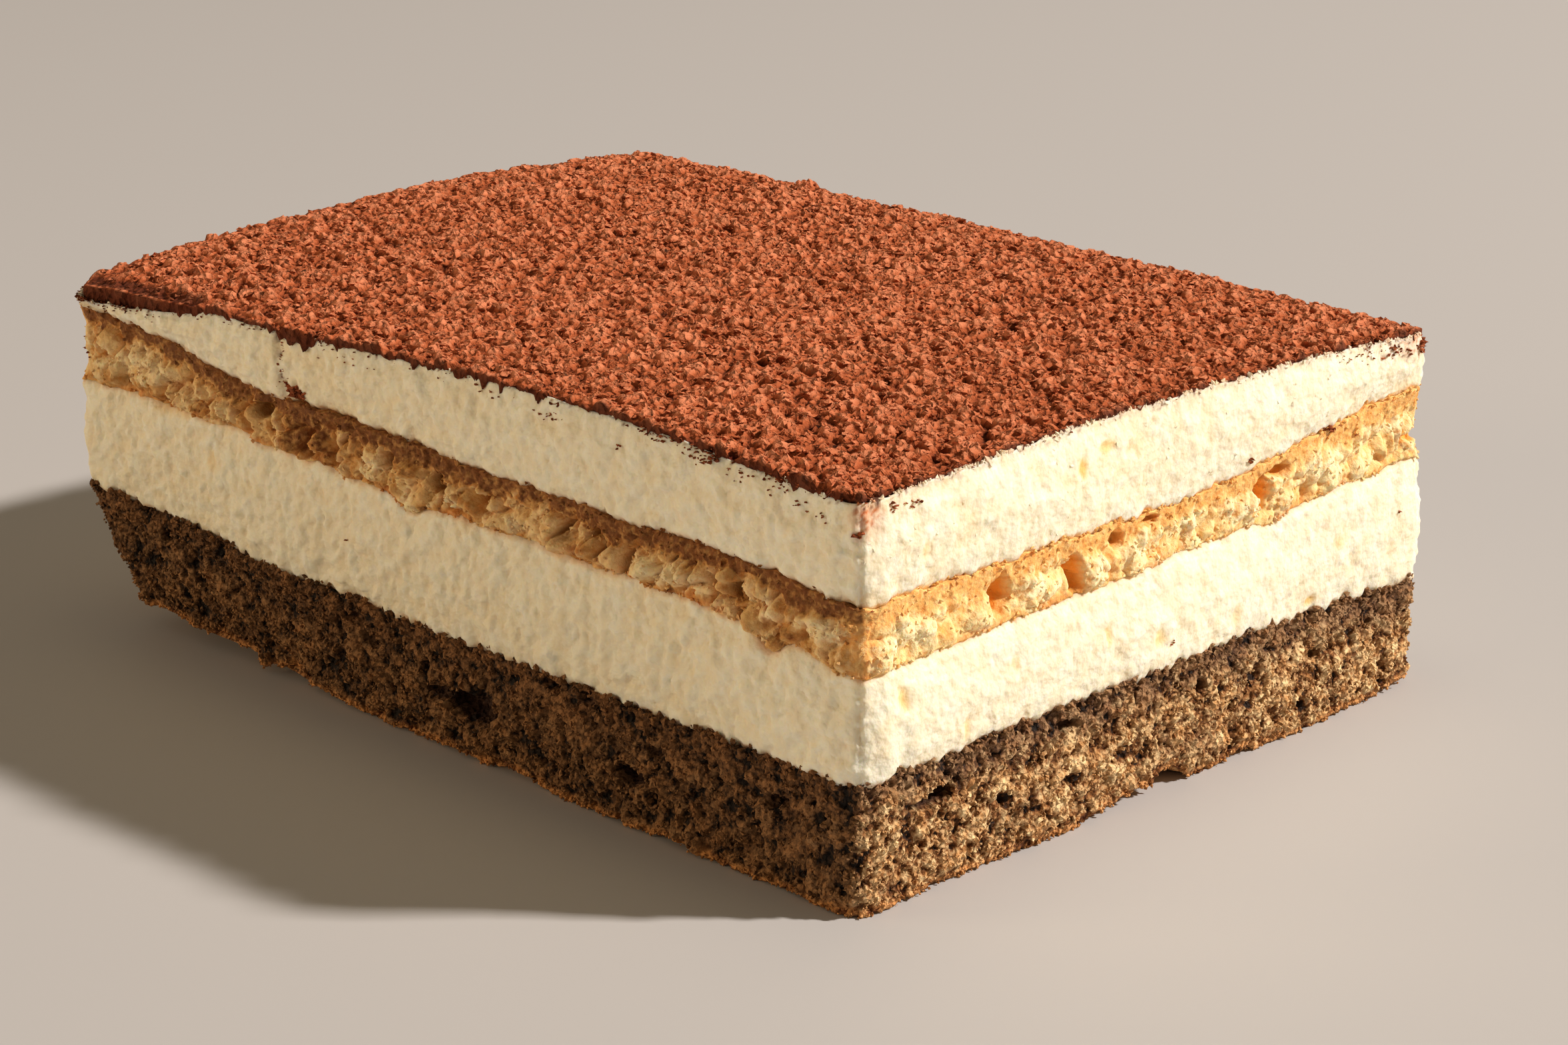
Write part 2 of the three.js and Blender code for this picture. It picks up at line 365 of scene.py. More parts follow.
def ragged_lines():
    """The six lines that bound the five layers on the cut faces."""
    levels = rim_heights()
    at = np.column_stack([columns.plan, np.zeros(len(columns.plan))])
    front, right = columns.on(FRONT), columns.on(RIGHT)
    underside = levels[0] + 0.45 * np.abs(fractal(at, 2.4, 11)) + 0.3 * np.abs(noise(at, 0.6, 13))
    underside += 0.5 * ease(0.1, 0.7, noise(at, 5.0, 14)) + lumpy(UNDERSIDE_LUMPS)
    crumb_top = levels[1] + 0.4 * fractal(at, 3.2, 21) + 0.5 * fractal(at, 0.9, 25)
    crumb_top += 0.5 * right * fractal(at, 1.6, 28)
    biscuit_floor = levels[2] + 0.5 * fractal(at, 4.0, 31) + 0.22 * fractal(at, 0.9, 36)
    biscuit_floor += lumpy(BISCUIT_FLOOR_LUMPS)
    biscuit_top = levels[3] + 0.45 * fractal(at, 4.5, 41) + 0.34 * fractal(at, 0.9, 46)
    biscuit_top += 0.6 * right * fractal(at, 1.5, 48) + lumpy(BISCUIT_TOP_LUMPS)
    cream_top = levels[4] + 0.3 + 0.35 * (right + front) + 0.24 * fractal(at, 1.0, 51)
    cream_top += lumpy(CREAM_TOP_LUMPS) - 1.1 * shoulder(columns.plan)
    return [np.maximum(underside, 0.0), crumb_top, biscuit_floor, biscuit_top, cream_top, levels[5]]


lines = ragged_lines()


# ---- Meshes ----
def make_piece(name, layer, material, points, faces, attributes, smooth=True):
    """A mesh piece of a layer from points in millimetres, with one number a point per attribute."""
    mesh = bpy.data.meshes.new(name)
    mesh.from_pydata((points * MM).tolist(), [], faces)
    for label, values in attributes.items():
        attribute = mesh.attributes.new(label, "FLOAT", "POINT")
        attribute.data.foreach_set("value", values.astype(np.float32))
    mesh.materials.append(material)
    mesh.validate()
    if smooth:
        mesh.shade_smooth()
    piece = bpy.data.objects.new(name, mesh)
    bpy.context.scene.collection.objects.link(piece)
    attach(piece, "root")
    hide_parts(LAYERS[layer])


def ring_quads(lower, upper):
    """Quads between two rings of points, facing outwards where the rings run anticlockwise."""
    return np.column_stack([lower, np.roll(lower, -1), np.roll(upper, -1), upper]).tolist()


def fan(centre, ring):
    """Triangles from a centre to a ring, facing up where the ring runs anticlockwise."""
    return [(centre, a, b) for a, b in zip(ring, np.roll(ring, -1))]


class Wall:
    """The wall of one layer as rows of points, each field one flat array."""

    def __init__(self, index):
        near, far = COLUMN_STEPS[index]
        self.outline = Outline([near, near, far, far])
        low, high = (columns.read(lines[i], self.outline.travel) for i in (index, index + 1))
        rows = round((high - low).max() / ROW_STEPS[index]) + 1
        share = np.linspace(0, 1, rows)[:, None]
        self.index = index
        self.shape = (rows, len(low))
        self.share = self.spread(share)
        self.z = (low + (high - low) * share).ravel()
        self.above = self.z - self.spread(low)
        self.below = self.spread(high) - self.z
        self.out = self.reach(share[:, 0])
        self.points = self.placed()
        self.front, self.right, self.back, self.left = (
            self.spread(self.outline.on(side)) for side in range(4)
        )
        self.calm = np.maximum(self.front, self.back)
        self.travel = self.spread(self.outline.travel)

    def spread(self, values):
        """One value a column or a row, as one value a point."""
        return np.broadcast_to(values, self.shape).ravel()

    def reach(self, shares):
        """How far the CAD wall stands out from the nominal rectangle, at each point."""
        knots = [probes.read(column, self.outline.travel) for column in measured[self.index][1].T]
        reach = [np.interp(shares, WALL_SHARES, knot) for knot in np.transpose(knots)]
        return np.transpose(reach).ravel()

    def placed(self, relief=0.0):
        """The points of the wall in the frame, with relief that moves each of them out."""
        out = self.out.reshape(self.shape)[..., None]
        relief = np.broadcast_to(relief, len(self.z)).reshape(self.shape)[..., None]
        plan = self.outline.plan + MIDDLE + self.outline.directions * out
        plan = plan + self.outline.normals * relief
        return np.concatenate([plan, self.z.reshape(self.shape)[..., None]], axis=-1).reshape(-1, 3)

    def gap(self, side, place):
        """How far round the block each point is from one place."""
        return self.spread(self.outline.gap(side, place))

    def near(self, side, place, reach):
        """1 at one place, and 0 from reach away."""
        return self.spread(self.outline.near(side, place, reach))

    def spots(self, table, seed, sharp=0.5, wobble=0.3, size=1.1):
        """The strength of a table's spots at each point, with ragged edges."""
        ragged = wobble * fractal(self.points, size, seed, 2)
        total = np.zeros(len(self.z))
        for side, place, height, half_wide, half_high, strength in entries(table):
            wide = self.gap(side, place) / half_wide
            high = (self.z - height) / half_high
            distance = np.sqrt(wide**2 + high**2) + ragged
            total = np.maximum(total, strength * ease(1.2, sharp, distance))
        return total

    def nearest(self, side, place, height):
        """The number of the point that is nearest to a place on the wall."""
        column = np.argmin(self.outline.gap(side, place))
        row = np.argmin(np.abs(self.z.reshape(self.shape)[:, column] - height))
        return row * self.shape[1] + column

    def outward(self, chosen):
        """Unit directions out of the wall at chosen points."""
        return np.column_stack([self.outline.normals[chosen % self.shape[1]], np.zeros(len(chosen))])

    def picked(self, count, weight):
        """Random points of the wall, more of them where the weight is high."""
        area = self.spread(self.outline.widths) * weight
        return random.choice(len(area), count, p=area / area.sum())

    def taken(self, chosen, *labels):
        """Some of the wall's attributes at chosen points."""
        return {label: self.attributes[label][chosen] for label in labels}


base_tree = tree_of(LAYERS[BASE])


def underside_height(points):
    """The base's underside at each point's plan place: the CAD's, lifted where the rim is lifted."""
    heights = []
    for x, y, _ in points:
        hit = base_tree.ray_cast(Vector((x, y, RAY_FOOT)), Vector((0, 0, 1)))[0]
        heights.append(hit.z if hit else 0.0)
    plan = points[:, :2] - MIDDLE
    for side, outward in enumerate(OUTWARD):
        inside = np.abs(outward) @ [LENGTH / 2, WIDTH / 2] - plan @ outward
        rim = columns.read(lines[BASE], travel_of(side, plan[:, side % 2]))
        heights = np.maximum(heights, rim * ease(LIFT_REACH, 0.0, inside))
    return heights


def moved_inside(edge, directions, inset):
    """The edge's points moved inside the block, for a cap."""
    inner = edge.copy()
    inner[:, :2] -= directions * inset
    return inner


def lower_cap(index, edge, directions):
    """The ring where a layer's lower cap starts."""
    if index != BASE:
        return moved_inside(edge, directions, CAP_INSET)
    inner = moved_inside(edge, directions, LOW_CAP_INSET)
    inner[:, 2] = underside_height(inner) + LOW_CAP_RISE
    return inner


def upper_cap(index, edge, directions):
    """The ring where a layer's upper cap starts. The cream's dips, so it stays under the cocoa."""
    if index != UPPER_CREAM:
        return moved_inside(edge, directions, CAP_INSET)
    return moved_inside(edge, directions, TOP_CAP_INSET) - [0, 0, TOP_CAP_DIP]


def build_wall(index, relief, material):
    """One layer as a closed piece: its wall with relief, and plain caps hidden by its neighbours."""
    wall = Wall(index)
    moved, wall.attributes = relief(wall)
    corner = np.clip(1 - wall.outline.from_corner / CORNER_RADIUS, 0, 1) ** 2
    wall.final = wall.placed(moved - wall.spread(CORNER_CUT * CORNER_RADIUS * corner))
    count = wall.shape[1]
    grid = wall.final.reshape(*wall.shape, 3)
    directions = wall.outline.directions
    rings = [lower_cap(index, grid[0], directions), *grid, upper_cap(index, grid[-1], directions)]
    numbers = np.arange(len(rings) * count).reshape(-1, count)
    points = np.vstack([*rings, rings[0].mean(axis=0), rings[-1].mean(axis=0)])
    faces = [quad for lower, upper in zip(numbers, numbers[1:]) for quad in ring_quads(lower, upper)]
    faces += fan(numbers.size, numbers[0][::-1]) + fan(numbers.size + 1, numbers[-1])
    padded = {}
    for label, values in wall.attributes.items():
        whole = np.pad(values.reshape(wall.shape), ((1, 1), (0, 0)), mode="edge")
        padded[label] = np.append(whole, [whole[0].mean(), whole[-1].mean()])
    make_piece(LAYERS[index] + "_cut", index, material, points, faces, padded)
    return wall


# ---- Features of the cut faces ----
# Each spot is its place along its side, height, half width, half height and strength.
BASE_PITS = {
    FRONT: [
        (-52.2, 16.0, 0.8, 0.7, 1.0), (-48.8, 13.1, 1.0, 0.8, 1.2), (-14.5, 12.1, 1.0, 0.6, 1.0),
        (-11.5, 9.9, 1.6, 0.8, 1.3), (-0.8, 6.6, 1.7, 0.9, 1.6), (4.7, 6.4, 3.8, 1.7, 2.6),
        (18.7, 13.2, 1.6, 0.6, 1.0), (24.1, 13.0, 1.2, 0.8, 1.1), (29.8, 6.1, 2.0, 1.0, 1.9),
        (34.1, 10.0, 1.0, 0.6, 1.0), (50.9, 9.5, 1.5, 0.7, 1.4),
    ],
    RIGHT: [
        (-35.5, 10.0, 2.9, 0.9, 2.4), (-15.0, 12.0, 1.2, 0.8, 1.5), (6.0, 10.4, 1.0, 0.9, 1.2),
        (27.0, 8.6, 1.1, 0.7, 1.2),
    ],
    BACK: [(-24.0, 9.0, 1.6, 1.0, 1.5), (20.0, 7.0, 2.6, 1.2, 2.0)],
    LEFT: [(12.0, 9.0, 2.0, 1.0, 1.8)],
}
BISCUIT_PITS = {
    FRONT: [
        (-28.1, 32.8, 1.7, 1.0, 1.9), (-6.3, 31.6, 1.2, 0.9, 1.0), (1.2, 30.8, 1.5, 1.1, 1.4),
        (21.0, 29.6, 1.4, 0.8, 1.0), (25.3, 30.9, 0.8, 0.6, 0.8), (45.4, 29.6, 1.5, 1.0, 1.3),
    ],
    RIGHT: [
        (-25.5, 28.6, 1.5, 1.8, 1.8), (-14.2, 27.8, 1.1, 2.3, 1.9), (-7.4, 29.6, 1.1, 1.1, 1.3),
        (-2.0, 30.4, 1.7, 0.5, 1.0), (17.1, 29.0, 1.3, 1.9, 2.0), (19.6, 30.8, 1.9, 0.8, 1.5),
        (37.7, 28.4, 0.7, 0.5, 0.6), (44.6, 29.6, 2.4, 0.8, 1.9),
    ],
    BACK: [(-30.0, 31.0, 2.2, 1.6, 1.6), (10.0, 30.0, 1.6, 1.8, 1.6), (36.0, 30.5, 1.4, 1.4, 1.4)],
    LEFT: [(-20.0, 33.5, 1.8, 1.8, 1.5), (18.0, 32.0, 1.6, 1.4, 1.5)],
}
PALE_CHUNKS = {
    FRONT: [
        (-53.0, 33.6, 9.0, 2.2, 0.8), (-38.5, 32.6, 5.0, 1.1, 0.5), (-9.6, 30.3, 2.5, 1.5, 1.0),
        (-3.0, 28.2, 1.9, 1.7, 0.9), (3.6, 29.6, 1.6, 1.1, 0.7), (13.5, 29.2, 1.7, 1.4, 0.8),
        (36.8, 29.4, 6.4, 1.6, 1.0), (49.6, 28.7, 1.8, 1.3, 0.9), (56.5, 28.6, 4.4, 1.6, 0.9),
    ],
    RIGHT: [
        (-38.0, 28.0, 5.0, 1.8, 0.8), (-20.0, 27.6, 3.6, 1.8, 1.0), (-10.7, 27.2, 2.1, 1.7, 1.0),
        (-3.5, 28.8, 1.6, 1.5, 1.0), (4.0, 28.8, 3.2, 1.5, 0.7), (12.4, 28.4, 3.2, 1.9, 0.9),
        (28.1, 29.7, 3.6, 1.7, 0.9), (41.0, 31.6, 3.0, 1.4, 0.8),
    ],
    BACK: [(-46.0, 32.5, 6.0, 1.8, 0.8), (-8.0, 30.5, 7.0, 1.6, 0.8), (28.0, 30.0, 6.0, 1.6, 0.9)],
    LEFT: [(2.0, 33.0, 6.0, 1.8, 0.8), (34.0, 32.0, 5.0, 1.6, 0.8)],
}
END_STAIN = (-59.5, 36.5, 2.2, 4.5, 0.8)  # reaches up into the upper cream
COFFEE_STAINS = {
    FRONT: [
        END_STAIN, (-20.5, 31.8, 8.6, 3.0, 0.9), (-5.6, 31.8, 2.6, 1.6, 0.9),
        (8.5, 29.4, 3.4, 1.8, 0.6), (23.0, 29.4, 3.4, 2.0, 0.7), (45.5, 29.4, 2.4, 2.0, 0.8),
    ],
    BACK: [(48.0, 30.0, 7.0, 3.0, 0.7)],
    LEFT: [(-36.0, 34.0, 7.0, 3.0, 0.8)],
}
BUTTERY_PATCHES = {
    FRONT: [(-45.0, 29.6, 5.0, 1.0, 0.35), (-37.4, 25.0, 1.0, 1.4, 0.4)],
    RIGHT: [
        (-40.2, 21.8, 1.0, 1.5, 0.75), (-37.0, 36.0, 0.6, 1.2, 0.4), (-31.0, 16.2, 0.6, 1.6, 0.5),
        (-24.0, 21.0, 0.7, 1.3, 0.4), (-13.5, 38.6, 0.9, 1.4, 0.9), (-9.9, 20.0, 0.6, 1.9, 0.55),
        (-9.3, 39.8, 1.4, 0.8, 0.7), (-1.5, 17.9, 1.1, 1.1, 0.7), (12.0, 17.0, 0.8, 1.4, 0.4),
        (25.7, 14.9, 1.0, 0.7, 0.8), (30.0, 20.5, 1.3, 0.9, 0.45),
    ],
    BACK: [(-14.0, 22.5, 1.0, 1.5, 0.5), (33.0, 38.0, 1.2, 0.8, 0.5)],
    LEFT: [(-24.0, 39.5, 1.0, 0.9, 0.6), (10.0, 22.0, 1.2, 1.4, 0.6)],
}
# Where cocoa dust reaches further down the cream: place, how far along, and how much further.
DUSTY_PLACES = {RIGHT: [(42.0, 9.0, 3.0)], FRONT: [(61.0, 4.0, 1.6)]}
# Powdery orange: place, how far along, the depths below the rim where it ends and where it is
# full, and strength.
BLUSHES = {RIGHT: [(-44.3, 3.2, 4.5, 1.0, 1.0), (44.0, 10.0, 3.6, 0.6, 0.7)]}


# ---- Relief of each layer ----
def crumb(points, grain, seed):
    """Relief of an open crumb, about -1 to 1: rounded grains with gaps between, and its pores."""
    bent = warped(points, grain * 1.6, grain * 0.5, seed)
    near, _, number = cells(bent, grain, seed + 10)
    grains = 1.1 - 1.7 * near**2 + 0.7 * (number - 0.5)
    holes = ease(0.25, 0.5, fractal(bent, grain * 2.6, seed + 20, 2))
    return grains * 0.75 + 0.5 * fractal(points, grain * 3.5, seed + 30) - 0.2, holes


def base_relief(wall):
    """The dark sponge: granules in clusters, pores and voids, soaked at the top, baked underneath."""
    at = wall.points
    texture, pores = crumb(at, 0.62, 100)
    clusters = billows(warped(at, 1.5, 0.5, 132), 1.9, 135, 2) - 0.5
    gaps = ease(0.12, 0.4, fractal(at, 1.3, 137, 2))
    hollow = wall.spots(BASE_PITS, 130, sharp=0.75, wobble=0.45)
    clods = billows(at, 5.0, 140, 2) - 0.45
    offset = 0.36 * texture + 0.34 * clusters - 0.5 * pores - 0.3 * gaps - hollow + 0.42 * clods
    skin = ease(1.1, 0.2, wall.above + 0.7 * fractal(at, 1.6, 150))
    offset = offset * (1 - 0.45 * skin) + 0.35 * fractal(at, 11.0, 145)
    soaked = ease(5.0, 0.5, wall.below + 2.4 * fractal(at, 3.4, 170))
    soaked = np.clip(soaked + 0.5 * ease(0.15, 0.6, fractal(at, 4.0, 175)), 0, 1)
    # ridge and hollow also set colour: painted highlights on the granules' tops and painted shade in
    # the gaps and voids. shade paints the front face darker, as painted shade.
    return offset, {
        "ridge": 0.65 * texture + 0.8 * clusters + 0.25 - 0.6 * gaps,
        "hollow": hollow + 0.55 * pores,
        "skin": skin,
        "soak": soaked,
        "shade": wall.front,
    }


def biscuit_soaking(wall, flat, top_band, pale):
    """How far coffee has soaked the biscuit: along its edges, in patches, round the corner."""
    at, calm = wall.points, wall.calm
    floor_band = ease(1.3, 0.1, wall.above + 0.9 * fractal(at, 2.0, 240))
    floor_band *= ease(-0.4, 0.4, fractal(flat, 4.5, 245))
    stains = wall.spots(COFFEE_STAINS, 260, sharp=0.2, wobble=0.6, size=1.6)
    patches = 0.75 * ease(-0.15, 0.5, fractal(at, 2.2, 265))
    soaked = np.maximum.reduce([top_band, floor_band, stains * 1.1, patches])
    soaked = np.clip(soaked - pale, 0, 1) * (0.48 + 0.52 * calm) + 0.05 * (1 - calm)
    near_corner = ease(4.0, 0.5, wall.gap(FRONT, NEAR_CORNER) + 1.6 * fractal(at, 1.8, 293))
    return np.maximum(soaked, 0.5 * near_corner)


def biscuit_relief(wall):
    """The pale biscuit: torn chunks of crumb, soaked brown along the top and in patches."""
    at, calm = wall.points, wall.calm
    flat = at * [1, 1, 0]
    texture, pores = crumb(at, 0.6, 200)
    thick = 1.8 + 0.1 * wall.front + 0.8 * noise(flat, 7.0, 225) + 1.0 * fractal(flat, 2.2, 226)
    fuzz = 1.3 * fractal(at, 1.7, 230) + 0.4 * noise(at, 0.5, 236)
    top_band = ease(thick + 0.9, thick - 0.5, wall.below + fuzz)
    inner = 1 - 0.75 * top_band
    near, second, number = cells(warped(at, 2.4, 0.6, 268), 2.9, 270)
    cracks = ease(0.26, 0.03, second - near) * ease(-0.3, 0.3, fractal(at, 5.0, 278)) * inner
    cracks *= 0.4 + 0.6 * calm
    hollow = wall.spots(BISCUIT_PITS, 250, sharp=0.6, wobble=0.4) + 0.75 * cracks
    pale = wall.spots(PALE_CHUNKS, 255, sharp=0.1, wobble=0.55)
    pale = np.clip(pale + 0.5 * ease(0.5, 0.8, number), 0, 1) * (1 - top_band)
    amber = ease(1.0, 0.2, wall.above + 0.7 * fractal(at, 1.4, 288))
    amber = np.maximum(amber * ease(-0.1, 0.4, fractal(flat, 4.0, 289)), 0.5 * cracks)
    chunks = 0.5 - 1.5 * near**2 + 0.2 * (number - 0.5)
    knobs = billows(warped(at, 1.5, 0.4, 282), 2.4, 285, 1) - 0.45
    depth = (0.36 + 0.6 * wall.front + 0.2 * wall.back) * inner
    offset = (0.16 + 0.18 * calm) * texture + depth * (1.2 * chunks + 0.95 * knobs - 0.45 * pores)
    offset += 0.5 * pale - hollow + 0.25 * fractal(at, 9.0, 275)
    offset *= 0.4 + 0.6 * ease(0.0, 0.9, wall.above)
    offset *= wall.spread(0.4 + 0.6 * ease(0.2, 2.5, wall.outline.from_corner))
    # ridge and hollow also set colour: painted shade in the creases, cracks and holes. shade paints
    # the front and back faces darker, as painted shade.
    return offset, {
        "ridge": texture + calm * (0.8 * knobs + 0.5 * chunks),
        "hollow": hollow + 0.35 * pores * inner,
        "soak": biscuit_soaking(wall, flat, top_band, pale),
        "pale": pale,
        "amber": amber,
        "shade": calm,
    }


def cream_relief(wall):
    """Torn whipped cream: mottled on the front and back, finely curdled on the other two faces."""
    at = wall.points
    mottle = fractal(at, 1.9, 300)
    bent = warped(at, 1.0, 0.4, 305)
    curds = billows(bent, 1.2, 310, 2) - 0.45
    drags = noise(at * [1, 1, 0.3], 0.9, 320)
    nicks = ease(0.3, 0.7, fractal(bent, 2.1, 325, 2))
    torn = 0.15 * curds + 0.24 * mottle - 0.06 * nicks
    soft = 0.3 * curds + 0.1 * drags + 0.42 * mottle - 0.12 * nicks
    return torn * (1 - wall.calm) + soft * wall.calm + 0.35 * fractal(at, 14.0, 330)


def buttery_and_shaded(wall, offset, seed):
    """Buttery colour in the listed patches, and faintly in the hollows as a warm painted shade."""
    patches = wall.spots(BUTTERY_PATCHES, seed, sharp=0.4, wobble=0.35, size=0.8)
    return np.maximum(patches, (0.12 + 0.2 * wall.right) * ease(0.1, -0.4, offset))


def lower_cream_relief(wall):
    """The lower cream: it swells between the sponges, with crumbs and stains along its edges."""
    at = wall.points
    offset = cream_relief(wall)
    offset -= 0.25 * (ease(0.06, 0, wall.share) + ease(0.95, 1, wall.share))
    butter_and_hollow_shade = buttery_and_shaded(wall, offset, 340)
    upper_edge = 0.8 * ease(0.7, 0.0, wall.below + 0.4 * fractal(at, 1.3, 350))
    lower_edge = ease(0.55, 0.0, wall.above + 0.5 * fractal(at, 0.9, 355))
    stain = np.maximum(upper_edge, lower_edge)
    zero = np.zeros(len(wall.z))
    return offset - 0.3 * butter_and_hollow_shade, {"butter_and_hollow_shade": butter_and_hollow_shade, "stain": stain, "dust": zero, "blush": zero}


def dusted(wall, past_fold):
    """Flecks of cocoa under the rim of the upper cream, and a streak of them down the fold."""
    at = wall.points
    near, _, pick = cells(at, 0.6, 370)
    flecks = ease(0.45, 0.25, near) * ease(0.4, 0.7, pick)
    reach = 0.7 + 0.9 * fractal(at * [1, 1, 0], 3.5, 380)
    for side, place, along, further in entries(DUSTY_PLACES):
        reach += further * wall.near(side, place, along)
    flecks *= ease(1.0, 0.2, wall.below / np.maximum(reach, 0.3))
    streak = ease(0.4, 0.1, np.abs(past_fold - 0.2)) * ease(7.0, 5.5, wall.below) * wall.front
    streak *= ease(-0.1, 0.35, noise(at, 0.8, 385))
    return np.clip(np.maximum(flecks, 0.8 * streak), 0, 1)


def blushed(wall):
    """Powdery orange colour at the right face's two upper corners and along its rim."""
    at = wall.points
    blush = 0.3 * ease(1.0, 0.1, wall.below + 0.4 * fractal(at, 1.2, 387)) * wall.right
    for side, place, along, lowest, full, strength in entries(BLUSHES):
        patch = wall.near(side, place, along) * ease(lowest, full, wall.below)
        blush = np.maximum(blush, strength * patch)
    near, _, pick = cells(at, 0.5, 386)
    powder = ease(0.6, 0.3, near) * ease(0.1, 0.4, pick)
    return np.clip(blush * (0.4 + 0.8 * powder + 0.5 * fractal(at, 0.8, 388)), 0, 1)


def upper_cream_relief(wall):
    """The upper cream: a fold near the left of the front, cocoa dragged down from the rim."""
    offset = cream_relief(wall)
    fold = travel_of(FRONT, FOLD_PLACE) + FOLD_SLANT * np.clip(FOLD_TOP - wall.z, 0, FOLD_REACH)
    past_fold = wall.travel - fold
    offset -= 0.5 * ease(-0.5, 0.3, past_fold) * ease(18.0, 6.0, past_fold) * wall.front
    butter_and_hollow_shade = buttery_and_shaded(wall, offset, 360)
    edge = 0.9 * ease(0.6, 0.0, wall.above + 0.45 * fractal(wall.points, 1.0, 390))
    end = wall.spots({FRONT: [END_STAIN]}, 395, sharp=0.3)
    offset -= 0.3 * ease(0.6, 0.0, wall.above)
    return offset * (1 - 0.5 * ease(1.5, 0.0, wall.below)) - 0.3 * butter_and_hollow_shade, {
        "butter_and_hollow_shade": butter_and_hollow_shade,
        "stain": np.maximum(edge, 0.8 * end),
        "dust": dusted(wall, past_fold),
        "blush": blushed(wall),
    }


# ---- The underside and the cocoa ----
def patch_between(edges, u, v):
    """A grid of plan places that fits four edges, by blending across and subtracting corners."""
    front, right, back, left = edges
    s, t = ((u + 1) / 2)[:, None, None], ((v + 1) / 2)[None, :, None]
    across = left[None] * (1 - s) + right[None] * s
    deep = front[:, None] * (1 - t) + back[:, None] * t
    near = front[0] * (1 - s) + front[-1] * s
    far = back[0] * (1 - s) + back[-1] * s
    return across + deep - near * (1 - t) - far * t


class Sheet:
    """A grid of plan places over the whole block, and the outline whose places are its border."""

    def __init__(self, step, reach, inset):
        across, deep = (round(length / step) + 1 for length in (LENGTH, WIDTH))
        self.rim = Outline([LENGTH / (across - 1), WIDTH / (deep - 1)] * 2)
        self.shape = (across, deep)
        self.u, self.v = np.linspace(-1, 1, across), np.linspace(-1, 1, deep)
        out = probes.read(reach, self.rim.travel) - inset
        loop = self.rim.plan + MIDDLE + self.rim.directions * out[:, None]
        loop = np.vstack([loop, loop[:1]])
        starts = np.cumsum([0, across - 1, deep - 1, across - 1])
        front, right, back, left = (loop[i : i + n] for i, n in zip(starts, self.shape * 2))
        self.plan = patch_between((front, right, back[::-1], left[::-1]), self.u, self.v)
        place = np.rint((self.rim.plan / [LENGTH, WIDTH] + 0.5) * [across - 1, deep - 1]).astype(int)
        self.border = place[:, 0] * deep + place[:, 1]

    def points(self, heights):
        """The sheet's points, with a height for each place of the grid."""
        return np.concatenate([self.plan, heights[..., None]], axis=-1).reshape(-1, 3)

    def faces(self):
        """Quads of the grid, facing up."""
        i, j = np.meshgrid(*(np.arange(count - 1) for count in self.shape), indexing="ij")
        here = i * self.shape[1] + j
        beside = here + self.shape[1]
        return np.stack([here, beside, beside + 1, here + 1], axis=-1).reshape(-1, 4)


def build_underside(material):
    """The baked underside: a thin closed skin with shallow pits, let into the base from below."""
    sheet = Sheet(UNDERSIDE_STEP, measured[BASE][1][:, 0], UNDERSIDE_INSET)
    points = sheet.points(np.zeros(sheet.shape))
    texture, pores = crumb(points, 2.4, 500)
    wrinkles = fractal(points, 7.0, 540)
    inside = np.min([LENGTH, WIDTH] - 2 * np.abs(points[:, :2] - MIDDLE), axis=1) / 2
    pits = np.clip(0.45 - 0.6 * texture + 0.9 * pores + 0.5 * wrinkles, 0, 2)
    pits *= ease(0, UNDERSIDE_CALM, inside)
    points[:, 2] = underside_height(points) + UNDERSIDE_RELIEF * pits
    border = points[sheet.border] + [0, 0, UNDERSIDE_THICK]
    border[:, :2] -= sheet.rim.directions * UNDERSIDE_INSET
    upper = len(points) + np.arange(len(border))
    points = np.vstack([points, border, border.mean(axis=0)])
    faces = sheet.faces()[:, ::-1].tolist() + ring_quads(sheet.border, upper)
    faces += fan(len(points) - 1, upper)
    hidden = np.zeros(len(border) + 1)
    # ridge and hollow also set colour: painted highlights on the skin's raised crumb and painted
    # shade in its pits.
    attributes = {
        "ridge": np.append(0.2 + 0.7 * texture + 0.4 * wrinkles, hidden),
        "hollow": np.append(0.8 * pores, hidden),
        "skin": np.ones(len(points)),
        "soak": np.zeros(len(points)),
        "shade": np.zeros(len(points)),
    }
    make_piece("base_underside", BASE, material, points, faces, attributes)


def cocoa_relief(points):
    """Relief of sifted cocoa, about -1 to 1: small uneven clumps with sharp creases between."""
    bent = warped(points * [1, 1, 0.6], 1.0, 0.4, 400)
    near, _, number = cells(bent, 1.15, 410)
    clumps = 0.6 - 1.9 * near**2 + 0.6 * (number - 0.5)
    lumps = billows(bent, 1.6, 420, 2) - 0.42
    return 0.8 * clumps + 0.95 * lumps + 0.15 * fractal(points, 3.5, 430)


def cocoa_heights(u, v):
    """The heights of the CAD cocoa's top over a grid, for places u and v from -1 to 1."""
    tree = tree_of(LAYERS[COCOA])
    across, deep = (np.linspace(-1, 1, count) for count in COCOA_SAMPLES)
    half = np.array([LENGTH / 2, WIDTH / 2]) - COCOA_MARGIN
    sampled = np.zeros(COCOA_SAMPLES)
    for i, x in enumerate(across):
        for j, y in enumerate(deep):
            start = Vector((x * half[0] + MIDDLE[0], y * half[1] + MIDDLE[1], RAY_TOP))
            sampled[i, j] = tree.ray_cast(start, Vector((0, 0, -1)))[0].z
    rows = np.array([np.interp(v, deep, row) for row in sampled])
    return np.array([np.interp(u, across, column) for column in rows.T]).T


def cocoa_shape(sheet):
    """The smooth top of the cocoa as points, and how far its shoulder has turned down."""
    points = sheet.points(cocoa_heights(sheet.u, sheet.v))
    rounded = shoulder(points[:, :2] - MIDDLE + 0.5 * noise(points, 3.0, 455)[:, None])
    points[:, 2] -= SHOULDER_DROP * rounded
    for x, radius, tall in COCOA_LUMPS:
        away = np.hypot(points[:, 0] - x, points[:, 1] - WIDTH / 2 + LUMPS_INSET)
        points[:, 2] += tall * ease(radius, 0.3 * radius, away)
    return points, rounded


